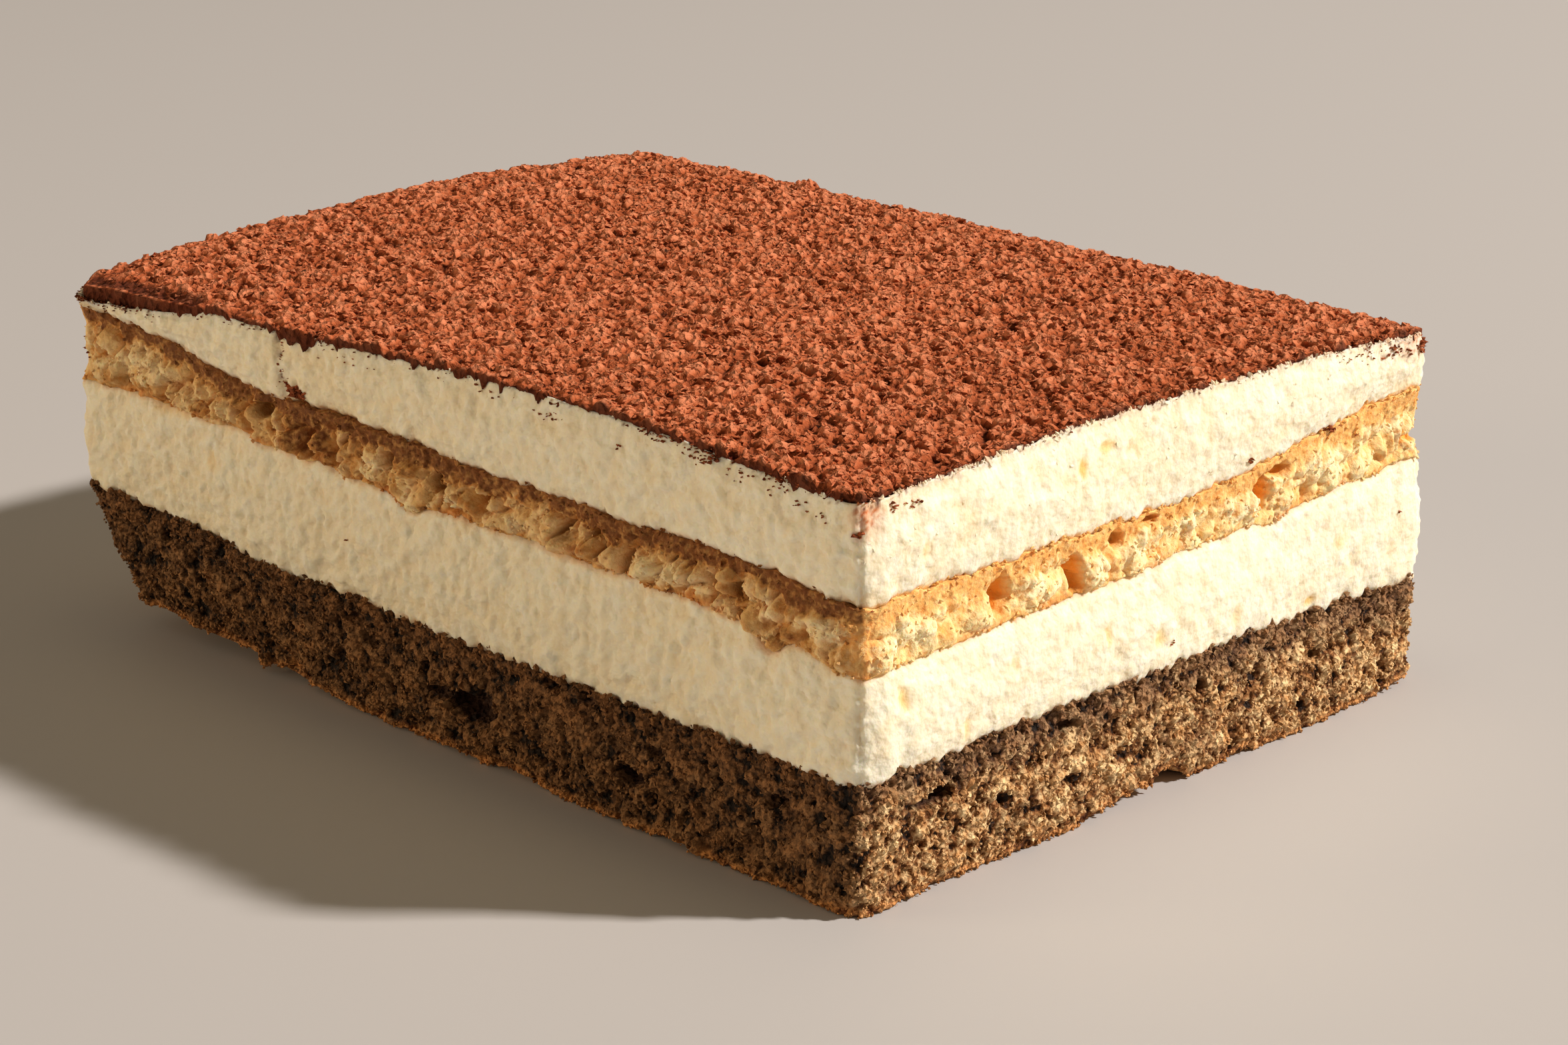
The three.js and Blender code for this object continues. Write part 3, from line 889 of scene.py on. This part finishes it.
def cocoa_foot(rim, edge):
    """How low the cocoa's ragged lip hangs at each place round the block."""
    at = edge * [1, 1, 0]
    drips = 0.3 * np.abs(fractal(at, 1.4, 465)) + 1.0 * ease(0.1, 0.6, noise(at, 0.8, 470))
    drips *= (0.35 + 0.65 * ease(-0.3, 0.3, noise(at, 6.0, 475))) * (1 - 0.85 * rim.on(RIGHT))
    drips += 0.8 * ease(3.4, 1.0, rim.gap(FRONT, DRIP_PLACE))
    return np.minimum(columns.read(lines[COCOA], rim.travel) - drips, edge[:, 2] - LIP_LEAST)


def build_cocoa(material):
    """The cocoa: a clumped top that rounds over at its edge and hangs raggedly over the cream."""
    sheet = Sheet(COCOA_STEP, measured[COCOA][1][:, 2], LIP)
    rim, ring = sheet.rim, sheet.border
    smooth, rounded = cocoa_shape(sheet)
    texture = cocoa_relief(smooth)
    top = smooth.copy()
    place = smooth[:, :2] - MIDDLE
    far = ease(0.0, COCOA_CALM, np.minimum(WIDTH / 2 - place[:, 1], LENGTH / 2 + place[:, 0]))
    relief = COCOA_RELIEF * texture * (1 - 0.85 * rounded) * (0.45 + 0.55 * far)
    top[:, 2] += relief + 0.15 * fractal(smooth, 12.0, 450)
    for axis in range(2):
        top[:, axis] += 0.1 * noise(smooth, 0.8, 460 + axis)

    edge = top[ring]
    foot = cocoa_foot(rim, edge)
    faces = sheet.faces().tolist()
    # The relief also sets colour: painted shade in the creases and a painted highlight on the crests.
    # shades darkens the rounded front shoulder, partly pressed cocoa and partly painted shade, and
    # the lip rows add the darkness of LIP_ROWS.
    points, ridges, shades = top, texture, 0.95 * ease(0.05, 0.5, rounded)
    for out, drop, hung, dark in LIP_ROWS:
        row = edge.copy()
        row[:, :2] += rim.directions * (out - COCOA_TUCK * rim.on(RIGHT)[:, None])
        row[:, 2] -= drop + hung * (edge[:, 2] - drop - foot)
        relief = cocoa_relief(row)
        row[:, :2] += rim.directions * (0.2 * relief * drop / LIP_DROP)[:, None]
        below = len(points) + np.arange(len(edge))
        faces += ring_quads(below, ring)
        ring = below
        points = np.vstack([points, row])
        ridges = np.append(ridges, relief)
        shades = np.append(shades, np.full(len(edge), dark))
    faces += fan(len(points), ring[::-1])
    points = np.vstack([points, row.mean(axis=0)])
    attributes = {"ridge": np.append(ridges, 0.0), "rim": np.append(shades, 1.0)}
    make_piece("cocoa_top", COCOA, material, points, faces, attributes)
    return top, texture, rounded


# ---- Loose crumbs ----
LUMP_CORNERS = np.concatenate([np.eye(3), -np.eye(3)])
LUMP_FACES = np.array(
    [[0, 1, 2], [1, 3, 2], [3, 4, 2], [4, 0, 2], [1, 0, 5], [3, 1, 5], [4, 3, 5], [0, 4, 5]]
)


def random_turns(count):
    """Rotation matrices in random directions."""
    quaternions = random.normal(size=(4, count))
    w, x, y, z = quaternions / np.linalg.norm(quaternions, axis=0)
    return np.array(
        [
            [1 - 2 * (y * y + z * z), 2 * (x * y - z * w), 2 * (x * z + y * w)],
            [2 * (x * y + z * w), 1 - 2 * (x * x + z * z), 2 * (y * z - x * w)],
            [2 * (x * z - y * w), 2 * (y * z + x * w), 1 - 2 * (x * x + y * y)],
        ]
    ).transpose(2, 0, 1)


def build_crumbs(name, layer, material, centres, sizes, attributes, tall=1.0):
    """Many small uneven lumps as one piece, each with its own number for every attribute."""
    count = len(centres)
    # Corners move in or out and sideways, and each lump is squashed a little along its axes.
    corners = LUMP_CORNERS * random.uniform(0.8, 1.35, (count, 6, 1))
    corners = corners + random.uniform(-0.25, 0.25, (count, 6, 3))
    corners = corners * random.uniform(0.65, 1.15, (count, 1, 3))
    corners = np.einsum("nij,nkj->nki", random_turns(count), corners) * [1, 1, tall]
    points = corners * (sizes / 2)[:, None, None] + centres[:, None]
    points[..., 2] = np.maximum(points[..., 2], 0)
    faces = (LUMP_FACES + 6 * np.arange(count)[:, None, None]).reshape(-1, 3).tolist()
    spread = {label: np.repeat(values, 6) for label, values in attributes.items()}
    make_piece(name, layer, material, points.reshape(-1, 3), faces, spread, smooth=False)


def scatter_base_grains(wall, material):
    """Granules that stand out of the dark sponge, most of all along its two edges."""
    weight = 0.25 + ease(-0.5, 0.6, wall.attributes["ridge"])
    weight *= 1 - 0.85 * np.clip(wall.attributes["hollow"], 0, 1)
    weight += 1.5 * ease(0.8, 0.0, wall.above) + 2.4 * ease(0.6, 0.0, wall.below)
    chosen = wall.picked(BASE_GRAINS, weight)
    sizes = random.uniform(*BASE_GRAIN_SIZES, BASE_GRAINS)
    sizes += 0.25 * ease(0.5, 0.0, wall.below[chosen]) - 0.15 * ease(0.8, 0.0, wall.above[chosen])
    proud = random.uniform(-0.15, 0.15, (BASE_GRAINS, 1))
    centres = wall.final[chosen] + wall.outward(chosen) * proud
    centres += random.uniform(-0.12, 0.12, (BASE_GRAINS, 3))
    centres[:, 2] += ease(0.6, 0.0, wall.below[chosen]) * random.uniform(0.0, 0.6, BASE_GRAINS)
    centres[:, 2] = np.maximum(centres[:, 2], 0.35 * sizes)
    attributes = wall.taken(chosen, "skin", "soak", "shade", "ridge", "hollow")
    # Grains take high ridge numbers, so they carry the painted highlight of the granules' tops.
    attributes["ridge"] = 0.3 + 0.6 * attributes["ridge"] + random.uniform(-0.25, 0.35, BASE_GRAINS)
    attributes["hollow"] *= 0.5
    build_crumbs("base_grains", BASE, material, centres, sizes, attributes)


def scatter_biscuit_crumbs(wall, material):
    """Small crumbs on the torn biscuit and along its two edges."""
    weight = 0.4 + wall.attributes["pale"] + ease(0.7, 0.0, wall.above)
    weight += (0.8 + 1.6 * wall.right) * ease(0.5, 0.0, wall.below)
    chosen = wall.picked(BISCUIT_CRUMBS, weight)
    sizes = random.uniform(*BISCUIT_CRUMB_SIZES, BISCUIT_CRUMBS)
    proud = random.uniform(-0.15, 0.1, (BISCUIT_CRUMBS, 1))
    centres = wall.final[chosen] + wall.outward(chosen) * proud
    centres[:, 2] += ease(0.5, 0.0, wall.below[chosen]) * random.uniform(0.0, 0.5, BISCUIT_CRUMBS)
    attributes = wall.taken(chosen, "soak", "pale", "amber", "hollow", "shade")
    attributes["ridge"] = random.uniform(-0.2, 0.8, BISCUIT_CRUMBS)
    build_crumbs("biscuit_crumbs", BISCUIT, material, centres, sizes, attributes)


def scatter_teeth(wall, material):
    """A ragged row of cream curds under the cocoa, on the two finely curdled faces."""
    torn = 0.04 + wall.right + wall.left
    chosen = wall.picked(CREAM_TEETH, torn * (0.01 + ease(0.4, 0.0, wall.below)))
    sizes = random.uniform(*CREAM_TOOTH_SIZES, CREAM_TEETH)
    centres = wall.final[chosen] - wall.outward(chosen) * 0.25 * sizes[:, None]
    attributes = wall.taken(chosen, *wall.attributes)
    build_crumbs("cream_teeth", UPPER_CREAM, material, centres, sizes, attributes)


# Each group of specks is its place along its side, height, how far it spreads along and up, how
# many there are, and the largest one's size.
COCOA_SPECKS = {
    FRONT: [
        (29.1, 40.8, 0.35, 0.35, 4, 0.6), (18.9, 41.9, 1.8, 0.5, 16, 0.45),
        (34.6, 42.8, 2.2, 0.5, 18, 0.5), (40.5, 42.2, 2.4, 0.7, 30, 0.6),
        (45.5, 41.6, 2.0, 0.7, 16, 0.45), (51.1, 41.6, 1.4, 0.7, 14, 0.5),
        (54.0, 40.5, 0.8, 0.5, 8, 0.45), (57.0, 39.8, 0.5, 0.4, 5, 0.4),
        (61.0, 38.9, 0.25, 0.2, 6, 0.75), (-14.0, 41.5, 4.0, 0.7, 12, 0.4),
        (8.0, 42.4, 5.0, 0.5, 14, 0.4), (-48.0, 40.2, 6.0, 0.8, 6, 0.4),
        (-22.0, 36.1, 1.1, 0.5, 70, 0.9), (-23.6, 36.7, 0.3, 0.5, 10, 0.5),
        (-24.5, 39.4, 0.1, 2.6, 26, 0.35), (-23.6, 39.6, 0.5, 2.2, 10, 0.25),
        (-62.0, 33.1, 0.8, 0.9, 12, 0.5), (-13.3, 21.5, 0.05, 0.05, 1, 0.4),
    ],
    RIGHT: [
        (-41.3, 41.0, 0.5, 0.2, 10, 0.6), (-38.6, 40.9, 1.2, 0.3, 14, 0.45),
        (44.1, 39.8, 1.2, 0.7, 26, 0.75), (38.5, 40.2, 3.6, 0.8, 34, 0.5),
        (33.0, 41.0, 4.0, 0.5, 22, 0.35), (-43.8, 31.4, 0.2, 0.2, 3, 0.5),
        (13.9, 33.4, 0.4, 0.25, 7, 0.6), (28.3, 33.6, 1.0, 0.4, 16, 0.6),
        (33.4, 31.8, 0.1, 0.1, 2, 0.45), (0.6, 16.9, 0.2, 0.15, 3, 0.5),
        (41.2, 21.6, 0.15, 0.15, 2, 0.45),
    ],
    BACK: [(20.0, 41.5, 16.0, 0.8, 60, 0.45), (-30.0, 41.0, 14.0, 0.8, 50, 0.45)],
    LEFT: [(10.0, 40.5, 14.0, 0.8, 50, 0.45), (-30.0, 39.5, 8.0, 0.8, 30, 0.45)],
}


def top_clumps(top, texture, rounded):
    """Clumps on the cocoa's top: their centres, sizes, ridge and rim numbers."""
    weight = (0.08 + ease(-0.4, 0.6, texture)) * (1 - 0.85 * rounded)
    chosen = random.choice(len(top), COCOA_CLUMPS, p=weight / weight.sum())
    smallest, largest = COCOA_CLUMP_SIZES
    sizes = smallest + (largest - smallest) * random.random(COCOA_CLUMPS) ** 2
    nudge = random.uniform(-0.2, 0.2, (COCOA_CLUMPS, 3)) * [1, 1, 0.25] - [0, 0, 0.06]
    # High ridge numbers give the clumps the crests' painted highlight, and the rim numbers carry the
    # shoulder's darkening.
    ridges = 0.6 * texture[chosen] + random.uniform(0.0, 0.45, COCOA_CLUMPS)
    return top[chosen] + nudge, sizes, ridges, 0.9 * rounded[chosen]


def rim_clumps(wall):
    """Clumps on the cream just under the cocoa, as top_clumps gives them."""
    weight = ease(1.3, 0.0, wall.below) ** 2 * (1 - 0.85 * wall.right)
    weight *= 0.15 + ease(0, 0.6, noise(wall.points, 2.6, 480))
    chosen = wall.picked(RIM_CLUMPS, weight)
    centres = wall.final[chosen] + random.uniform(-0.15, 0.15, (RIM_CLUMPS, 3)) + [0, 0, 0.08]
    sizes = random.uniform(*RIM_CLUMP_SIZES, RIM_CLUMPS)
    ridges = random.uniform(-0.4, 0.5, RIM_CLUMPS)
    return centres, sizes, ridges, random.uniform(0.2, 0.7, RIM_CLUMPS)


def wall_at(walls, side, place, height):
    """The lowest of some walls that reaches up to a place on a side."""
    for wall in walls:
        edge = height - SPECK_SLACK
        if wall.z.max() > height and wall.z[wall.nearest(side, place, height)] > edge:
            return wall
    return walls[-1]


def specks(walls):
    """The listed specks on the cut faces, as top_clumps gives them."""
    found = []
    for side, place, height, along, up, count, largest in entries(COCOA_SPECKS):
        for _ in range(count):
            z = height + up * random.normal() * SPECK_SPREAD
            wall = wall_at(walls, side, place, z)
            point = wall.nearest(side, place + along * random.normal() * SPECK_SPREAD, z)
            nudge = SPECK_PROUD * wall.outward(np.array([point]))[0]
            centre = wall.final[point] + (nudge + random.uniform(-0.16, 0.16, 3))
            size = random.uniform(0.5, 1.3) * largest
            found.append((centre, size, random.uniform(-0.2, 0.6), random.uniform(0.2, 0.6)))
    return zip(*found)


def scatter_cocoa(top, texture, rounded, walls, material):
    """Clumps of cocoa on the top, and specks that fell or were dragged down the cut faces."""
    kinds = zip(top_clumps(top, texture, rounded), rim_clumps(walls[-1]), specks(walls))
    centres, sizes, ridges, rims = (np.concatenate(kind) for kind in kinds)
    attributes = {"ridge": ridges, "rim": rims}
    build_crumbs("cocoa_clumps", COCOA, material, centres, sizes, attributes, tall=0.5)


# ---- Materials ----
def linear(colour):
    """A linear colour, with its alpha of 1, from sRGB numbers of 0 to 255."""
    share = np.array(colour) / 255
    return (*np.where(share <= 0.04045, share / 12.92, ((share + 0.055) / 1.055) ** 2.4), 1.0)


class Shader:
    """A Principled material under construction, with short calls for its nodes.

    A value can be a number, an attribute's name, an sRGB colour or another node's output.
    """

    def __init__(self, name, **sockets):
        self.material = bpy.data.materials.new(name)
        self.material.use_nodes = True
        self.nodes = self.material.node_tree.nodes
        self.links = self.material.node_tree.links
        self.surface = self.nodes["Principled BSDF"]
        for socket, value in sockets.items():
            self.surface.inputs[socket.replace("_", " ")].default_value = value

    def fill(self, socket, value):
        """Set a socket to a number or a colour, or link it to an attribute or a node's output."""
        if isinstance(value, (int, float)):
            socket.default_value = value
        elif isinstance(value, tuple):
            socket.default_value = linear(value)
        elif isinstance(value, str):
            node = self.nodes.new("ShaderNodeAttribute")
            node.attribute_name = value
            self.links.new(node.outputs["Fac"], socket)
        else:
            self.links.new(value, socket)

    def texture(self, kind, size, output):
        """A texture over the piece, with features about size millimetres across, and its output."""
        node = self.nodes.new(kind)
        node.inputs["Scale"].default_value = 1 / (size * MM)
        place = self.nodes.new("ShaderNodeTexCoord").outputs["Object"]
        self.links.new(place, node.inputs["Vector"])
        return node, node.outputs[output]

    def noise(self, size, detail=3.0):
        """Noise with features about size millimetres across."""
        node, value = self.texture("ShaderNodeTexNoise", size, "Fac")
        node.inputs["Detail"].default_value = detail
        return value

    def cells(self, size):
        """Distance to scattered points about size millimetres apart."""
        return self.texture("ShaderNodeTexVoronoi", size, "Distance")[1]

    def span(self, value, low, high, to_low=0.0, to_high=1.0):
        """A value taken from one range to another, and held at its ends."""
        node = self.nodes.new("ShaderNodeMapRange")
        self.fill(node.inputs["Value"], value)
        ends = {"From Min": low, "From Max": high, "To Min": to_low, "To Max": to_high}
        for socket, end in ends.items():
            node.inputs[socket].default_value = end
        return node.outputs["Result"]

    def joined(self, operation, first, second):
        """Two numbers joined by a math operation."""
        node = self.nodes.new("ShaderNodeMath")
        node.operation = operation
        self.fill(node.inputs[0], first)
        self.fill(node.inputs[1], second)
        return node.outputs["Value"]

    def plus(self, first, second):
        """The sum of two numbers."""
        return self.joined("ADD", first, second)

    def times(self, first, second):
        """The product of two numbers."""
        return self.joined("MULTIPLY", first, second)

    def mix(self, share, first, second):
        """Two colours mixed by a share."""
        node = self.nodes.new("ShaderNodeMix")
        node.data_type = "RGBA"
        shown = [socket for socket in node.inputs if socket.enabled]
        for socket, value in zip(shown, (share, first, second)):
            self.fill(socket, value)
        return [socket for socket in node.outputs if socket.enabled][0]

    def finished(self, colour, relief, depth):
        """The material with its colour, and fine relief depth millimetres high."""
        self.fill(self.surface.inputs["Base Color"], colour)
        node = self.nodes.new("ShaderNodeBump")
        node.inputs["Distance"].default_value = depth * MM
        self.links.new(relief, node.inputs["Height"])
        self.links.new(node.outputs["Normal"], self.surface.inputs["Normal"])
        return self.material


def cream_material(name, scatter):
    """Whipped cream, off-white. Buttery patches, a warm painted shade in its hollows, coffee stains
    and cocoa dust.
    """
    shader = Shader(
        name,
        Roughness=0.6,
        IOR=1.4,
        Subsurface_Weight=scatter,
        Subsurface_Scale=0.0009,
        Subsurface_Radius=(1.0, 0.85, 0.55),
    )
    body = shader.mix(shader.span(shader.noise(2.2), 0.35, 0.65), (244, 233, 204), (250, 244, 224))
    # Buttery yellow in the listed patches, and a warm painted shade in the hollows.
    body = shader.mix("butter_and_hollow_shade", body, (242, 202, 112))
    body = shader.mix(shader.times("stain", 0.5), body, (222, 156, 88))
    body = shader.mix("blush", body, (206, 112, 40))
    body = shader.mix("dust", body, (92, 42, 22))
    return shader.finished(body, shader.plus(shader.noise(0.7, 2), shader.noise(1.4, 2)), 0.17)


def base_material():
    """Dark sponge, soaked darker at the top, baked golden below, with painted highlights and shade on
    its crumb.
    """
    shader = Shader("cocoa_sponge", Roughness=0.75, Specular_IOR_Level=0.25)
    # light is the tan of the granules' tops, partly the crumb's own tone and partly a painted
    # highlight; the gaps are painted dark as shade.
    light = shader.mix(shader.span(shader.noise(1.2), 0.35, 0.65), (208, 154, 96), (255, 224, 170))
    grain = shader.plus("ridge", shader.span(shader.noise(0.5, 4), 0.35, 0.65, -0.35, 0.35))
    highlight_share = shader.span(grain, -0.3, 0.8)
    dry = shader.mix(shader.span(grain, -0.4, 0.2), (30, 13, 3), (134, 82, 36))
    dry = shader.mix(shader.span(grain, 0.1, 0.9), dry, light)
    soaked = shader.mix(highlight_share, (16, 8, 5), (138, 98, 68))
    body = shader.mix(shader.times("soak", 0.8), dry, soaked)
    # Painted shade: the front face's colours are darker.
    shaded = shader.mix(shader.span(grain, -0.1, 1.1), (14, 5, 1), (150, 102, 60))
    body = shader.mix(shader.times("shade", 0.9), body, shaded)
    # Painted shade in the voids.
    body = shader.mix(shader.span("hollow", 0.2, 1.4, 0.0, 0.9), body, (44, 19, 9))
    baked = shader.mix(highlight_share, (110, 58, 24), (220, 152, 86))
    body = shader.mix(shader.times("skin", 0.75), body, baked)
    return shader.finished(body, shader.plus(shader.noise(0.5, 5), shader.cells(0.6)), 0.5)


def biscuit_material(name, scatter):
    """Pale biscuit crumb, orange where coffee soaked a little, brown where it soaked through, with
    painted shade.
    """
    shader = Shader(
        name,
        Roughness=0.75,
        Specular_IOR_Level=0.3,
        Subsurface_Weight=scatter,
        Subsurface_Scale=0.0005,
        Subsurface_Radius=(1.0, 0.6, 0.35),
    )
    # Lit and shaded copies of the pale chunk's colour: the front and back faces take the shaded one.
    chunk = shader.mix("shade", (254, 237, 194), (255, 235, 188))
    pale = shader.mix("pale", (248, 218, 156), chunk)
    # Painted shade in the creases: warm orange on the right and left faces, brown on the front and
    # back.
    painted_crevice_shade = shader.mix("shade", (246, 178, 88), (160, 96, 42))
    pale = shader.mix(shader.span("ridge", -0.8, 0.3), painted_crevice_shade, pale)
    speckle = shader.span(shader.noise(0.9), 0.3, 0.7)
    damp = shader.mix(speckle, (230, 158, 78), (248, 202, 128))
    wet = shader.mix(speckle, (112, 64, 26), (172, 112, 54))
    soak = shader.plus("soak", shader.span(shader.noise(0.7, 4), 0.3, 0.7, -0.25, 0.25))
    body = shader.mix(shader.span(soak, 0.1, 0.5), pale, damp)
    body = shader.mix(shader.span(soak, 0.62, 1.0), body, wet)
    # Painted shade: the front and back faces are darker.
    shaded = shader.mix(soak, (216, 160, 92), (96, 52, 17))
    body = shader.mix(shader.times("shade", shader.span("pale", 0, 1, 0.5, 0.1)), body, shaded)
    body = shader.mix(shader.times("amber", 0.45), body, (222, 134, 60))
    # Painted shade in the holes and cracks: warm orange where dry on the right and left faces, dark
    # brown on the front and back, and where soaked partly the coffee's own colour.
    deep_share = shader.joined("MAXIMUM", "soak", shader.times("shade", 0.75))
    deep = shader.mix(deep_share, (252, 174, 68), (80, 38, 10))
    body = shader.mix(shader.span("hollow", 0.35, 1.4, 0.0, 0.9), body, deep)
    return shader.finished(body, shader.noise(0.6, 3), 0.3)


def cocoa_material():
    """Cocoa powder, orange brown: painted shade in the creases, a painted highlight on the crests, a
    darker cut rim.
    """
    shader = Shader("cocoa_powder", Roughness=0.95, Specular_IOR_Level=0.2)
    creased = shader.plus("ridge", shader.span(shader.noise(0.8, 3), 0.3, 0.7, -0.15, 0.15))
    # Painted shade in the creases.
    body = shader.mix(shader.span(creased, -0.75, 0.25), (78, 22, 3), (181, 95, 55))
    # Painted highlight on the crests.
    body = shader.mix(shader.span(creased, 0.2, 0.9), body, (215, 133, 94))
    # Darker rim and shoulder: partly the pressed cocoa's own colour, partly painted shade.
    body = shader.mix(shader.times("rim", 0.9), body, (82, 34, 16))
    return shader.finished(body, shader.plus(shader.noise(0.8, 3), shader.cells(0.9)), 0.8)


# ---- Build ----
cream = cream_material("whipped_cream", 0.7)
sponge = base_material()
cocoa = cocoa_material()
base_wall = build_wall(BASE, base_relief, sponge)
build_underside(sponge)
lower_wall = build_wall(LOWER_CREAM, lower_cream_relief, cream)
biscuit_wall = build_wall(BISCUIT, biscuit_relief, biscuit_material("coffee_biscuit", 0.6))
upper_wall = build_wall(UPPER_CREAM, upper_cream_relief, cream)
cocoa_surface = build_cocoa(cocoa)
# Scattering inside lumps this small turns them grey, so loose crumbs and curds have none.
scatter_base_grains(base_wall, sponge)
scatter_biscuit_crumbs(biscuit_wall, biscuit_material("biscuit_crumb", 0.0))
scatter_teeth(upper_wall, cream_material("cream_curd", 0.0))
scatter_cocoa(*cocoa_surface, [lower_wall, biscuit_wall, upper_wall], cocoa)


# ---- Stage ----
CAMERA_AZIMUTH = math.radians(44.29)
CAMERA_ELEVATION = math.radians(18.2)
CAMERA_DISTANCE = 381.9
CAMERA_AIM = Vector((15.4, -8.0, 21.0))  # from the middle of the block's underside
CAMERA_LENS = 79.67  # focal length
SENSOR_WIDTH = 36.0
CAMERA_NEAR = 0.01  # metres, where the view starts
LIGHTS = [
    # name, azimuth and elevation in degrees, distance and size in metres, watts, colour
    ("key", 40, 38, 3.0, 0.2, 128.0, (1.0, 0.89, 0.79)),
    ("fill", -130, 8, 1.4, 0.5, 7.2, (1.0, 0.74, 0.45)),
]
LIGHTS_AIM = Vector((0, 0, 0.02))  # metres
WORLD_COLOUR = (1.0, 0.82, 0.59, 1.0)
WORLD_STRENGTH = 0.2
FLOOR_HALF = 2.5  # metres
FLOOR_COLOUR = (190, 190, 192)


def direction_from(azimuth, elevation):
    """A unit direction. Azimuth 0 is +X and 90 degrees is +Y."""
    level = math.cos(elevation)
    return Vector((math.cos(azimuth) * level, math.sin(azimuth) * level, math.sin(elevation)))


def put(name, data, location, back):
    """A camera or light at a place, looking away from back."""
    thing = bpy.data.objects.new(name, data)
    thing.location = location
    thing.rotation_euler = back.to_track_quat("Z", "Y").to_euler()
    bpy.context.scene.collection.objects.link(thing)
    return thing


def build_camera():
    """The camera at the photo's angle, as azimuth 0 looks along +Y."""
    back = direction_from(CAMERA_AZIMUTH - math.pi / 2, CAMERA_ELEVATION)
    data = bpy.data.cameras.new("camera")
    data.lens = CAMERA_LENS
    data.sensor_width = SENSOR_WIDTH
    data.clip_start = CAMERA_NEAR
    location = (CAMERA_AIM + Vector((*MIDDLE, 0)) + back * CAMERA_DISTANCE) * MM
    bpy.context.scene.camera = put("camera", data, location, back)


def build_light(name, azimuth, elevation, distance, size, power, colour):
    """A square area light that faces the portion."""
    towards = direction_from(math.radians(azimuth), math.radians(elevation))
    data = bpy.data.lights.new(name, "AREA")
    data.size = size
    data.energy = power
    data.color = colour
    put(name, data, towards * distance + LIGHTS_AIM, towards)


def build_floor():
    """A plain pale floor."""
    mesh = bpy.data.meshes.new("floor")
    corners = [(x * FLOOR_HALF, y * FLOOR_HALF, 0) for x, y in ((-1, -1), (1, -1), (1, 1), (-1, 1))]
    mesh.from_pydata(corners, [], [(0, 1, 2, 3)])
    shader = Shader("pale_floor", Roughness=0.6, Base_Color=linear(FLOOR_COLOUR))
    mesh.materials.append(shader.material)
    floor = bpy.data.objects.new("floor", mesh)
    bpy.context.scene.collection.objects.link(floor)


def build_world():
    """Soft warm light from all round."""
    world = bpy.data.worlds.new("studio")
    world.use_nodes = True
    background = world.node_tree.nodes["Background"]
    background.inputs["Color"].default_value = WORLD_COLOUR
    background.inputs["Strength"].default_value = WORLD_STRENGTH
    bpy.context.scene.world = world


build_camera()
for light in LIGHTS:
    build_light(*light)
build_floor()
build_world()
bpy.context.scene.view_settings.view_transform = "Standard"
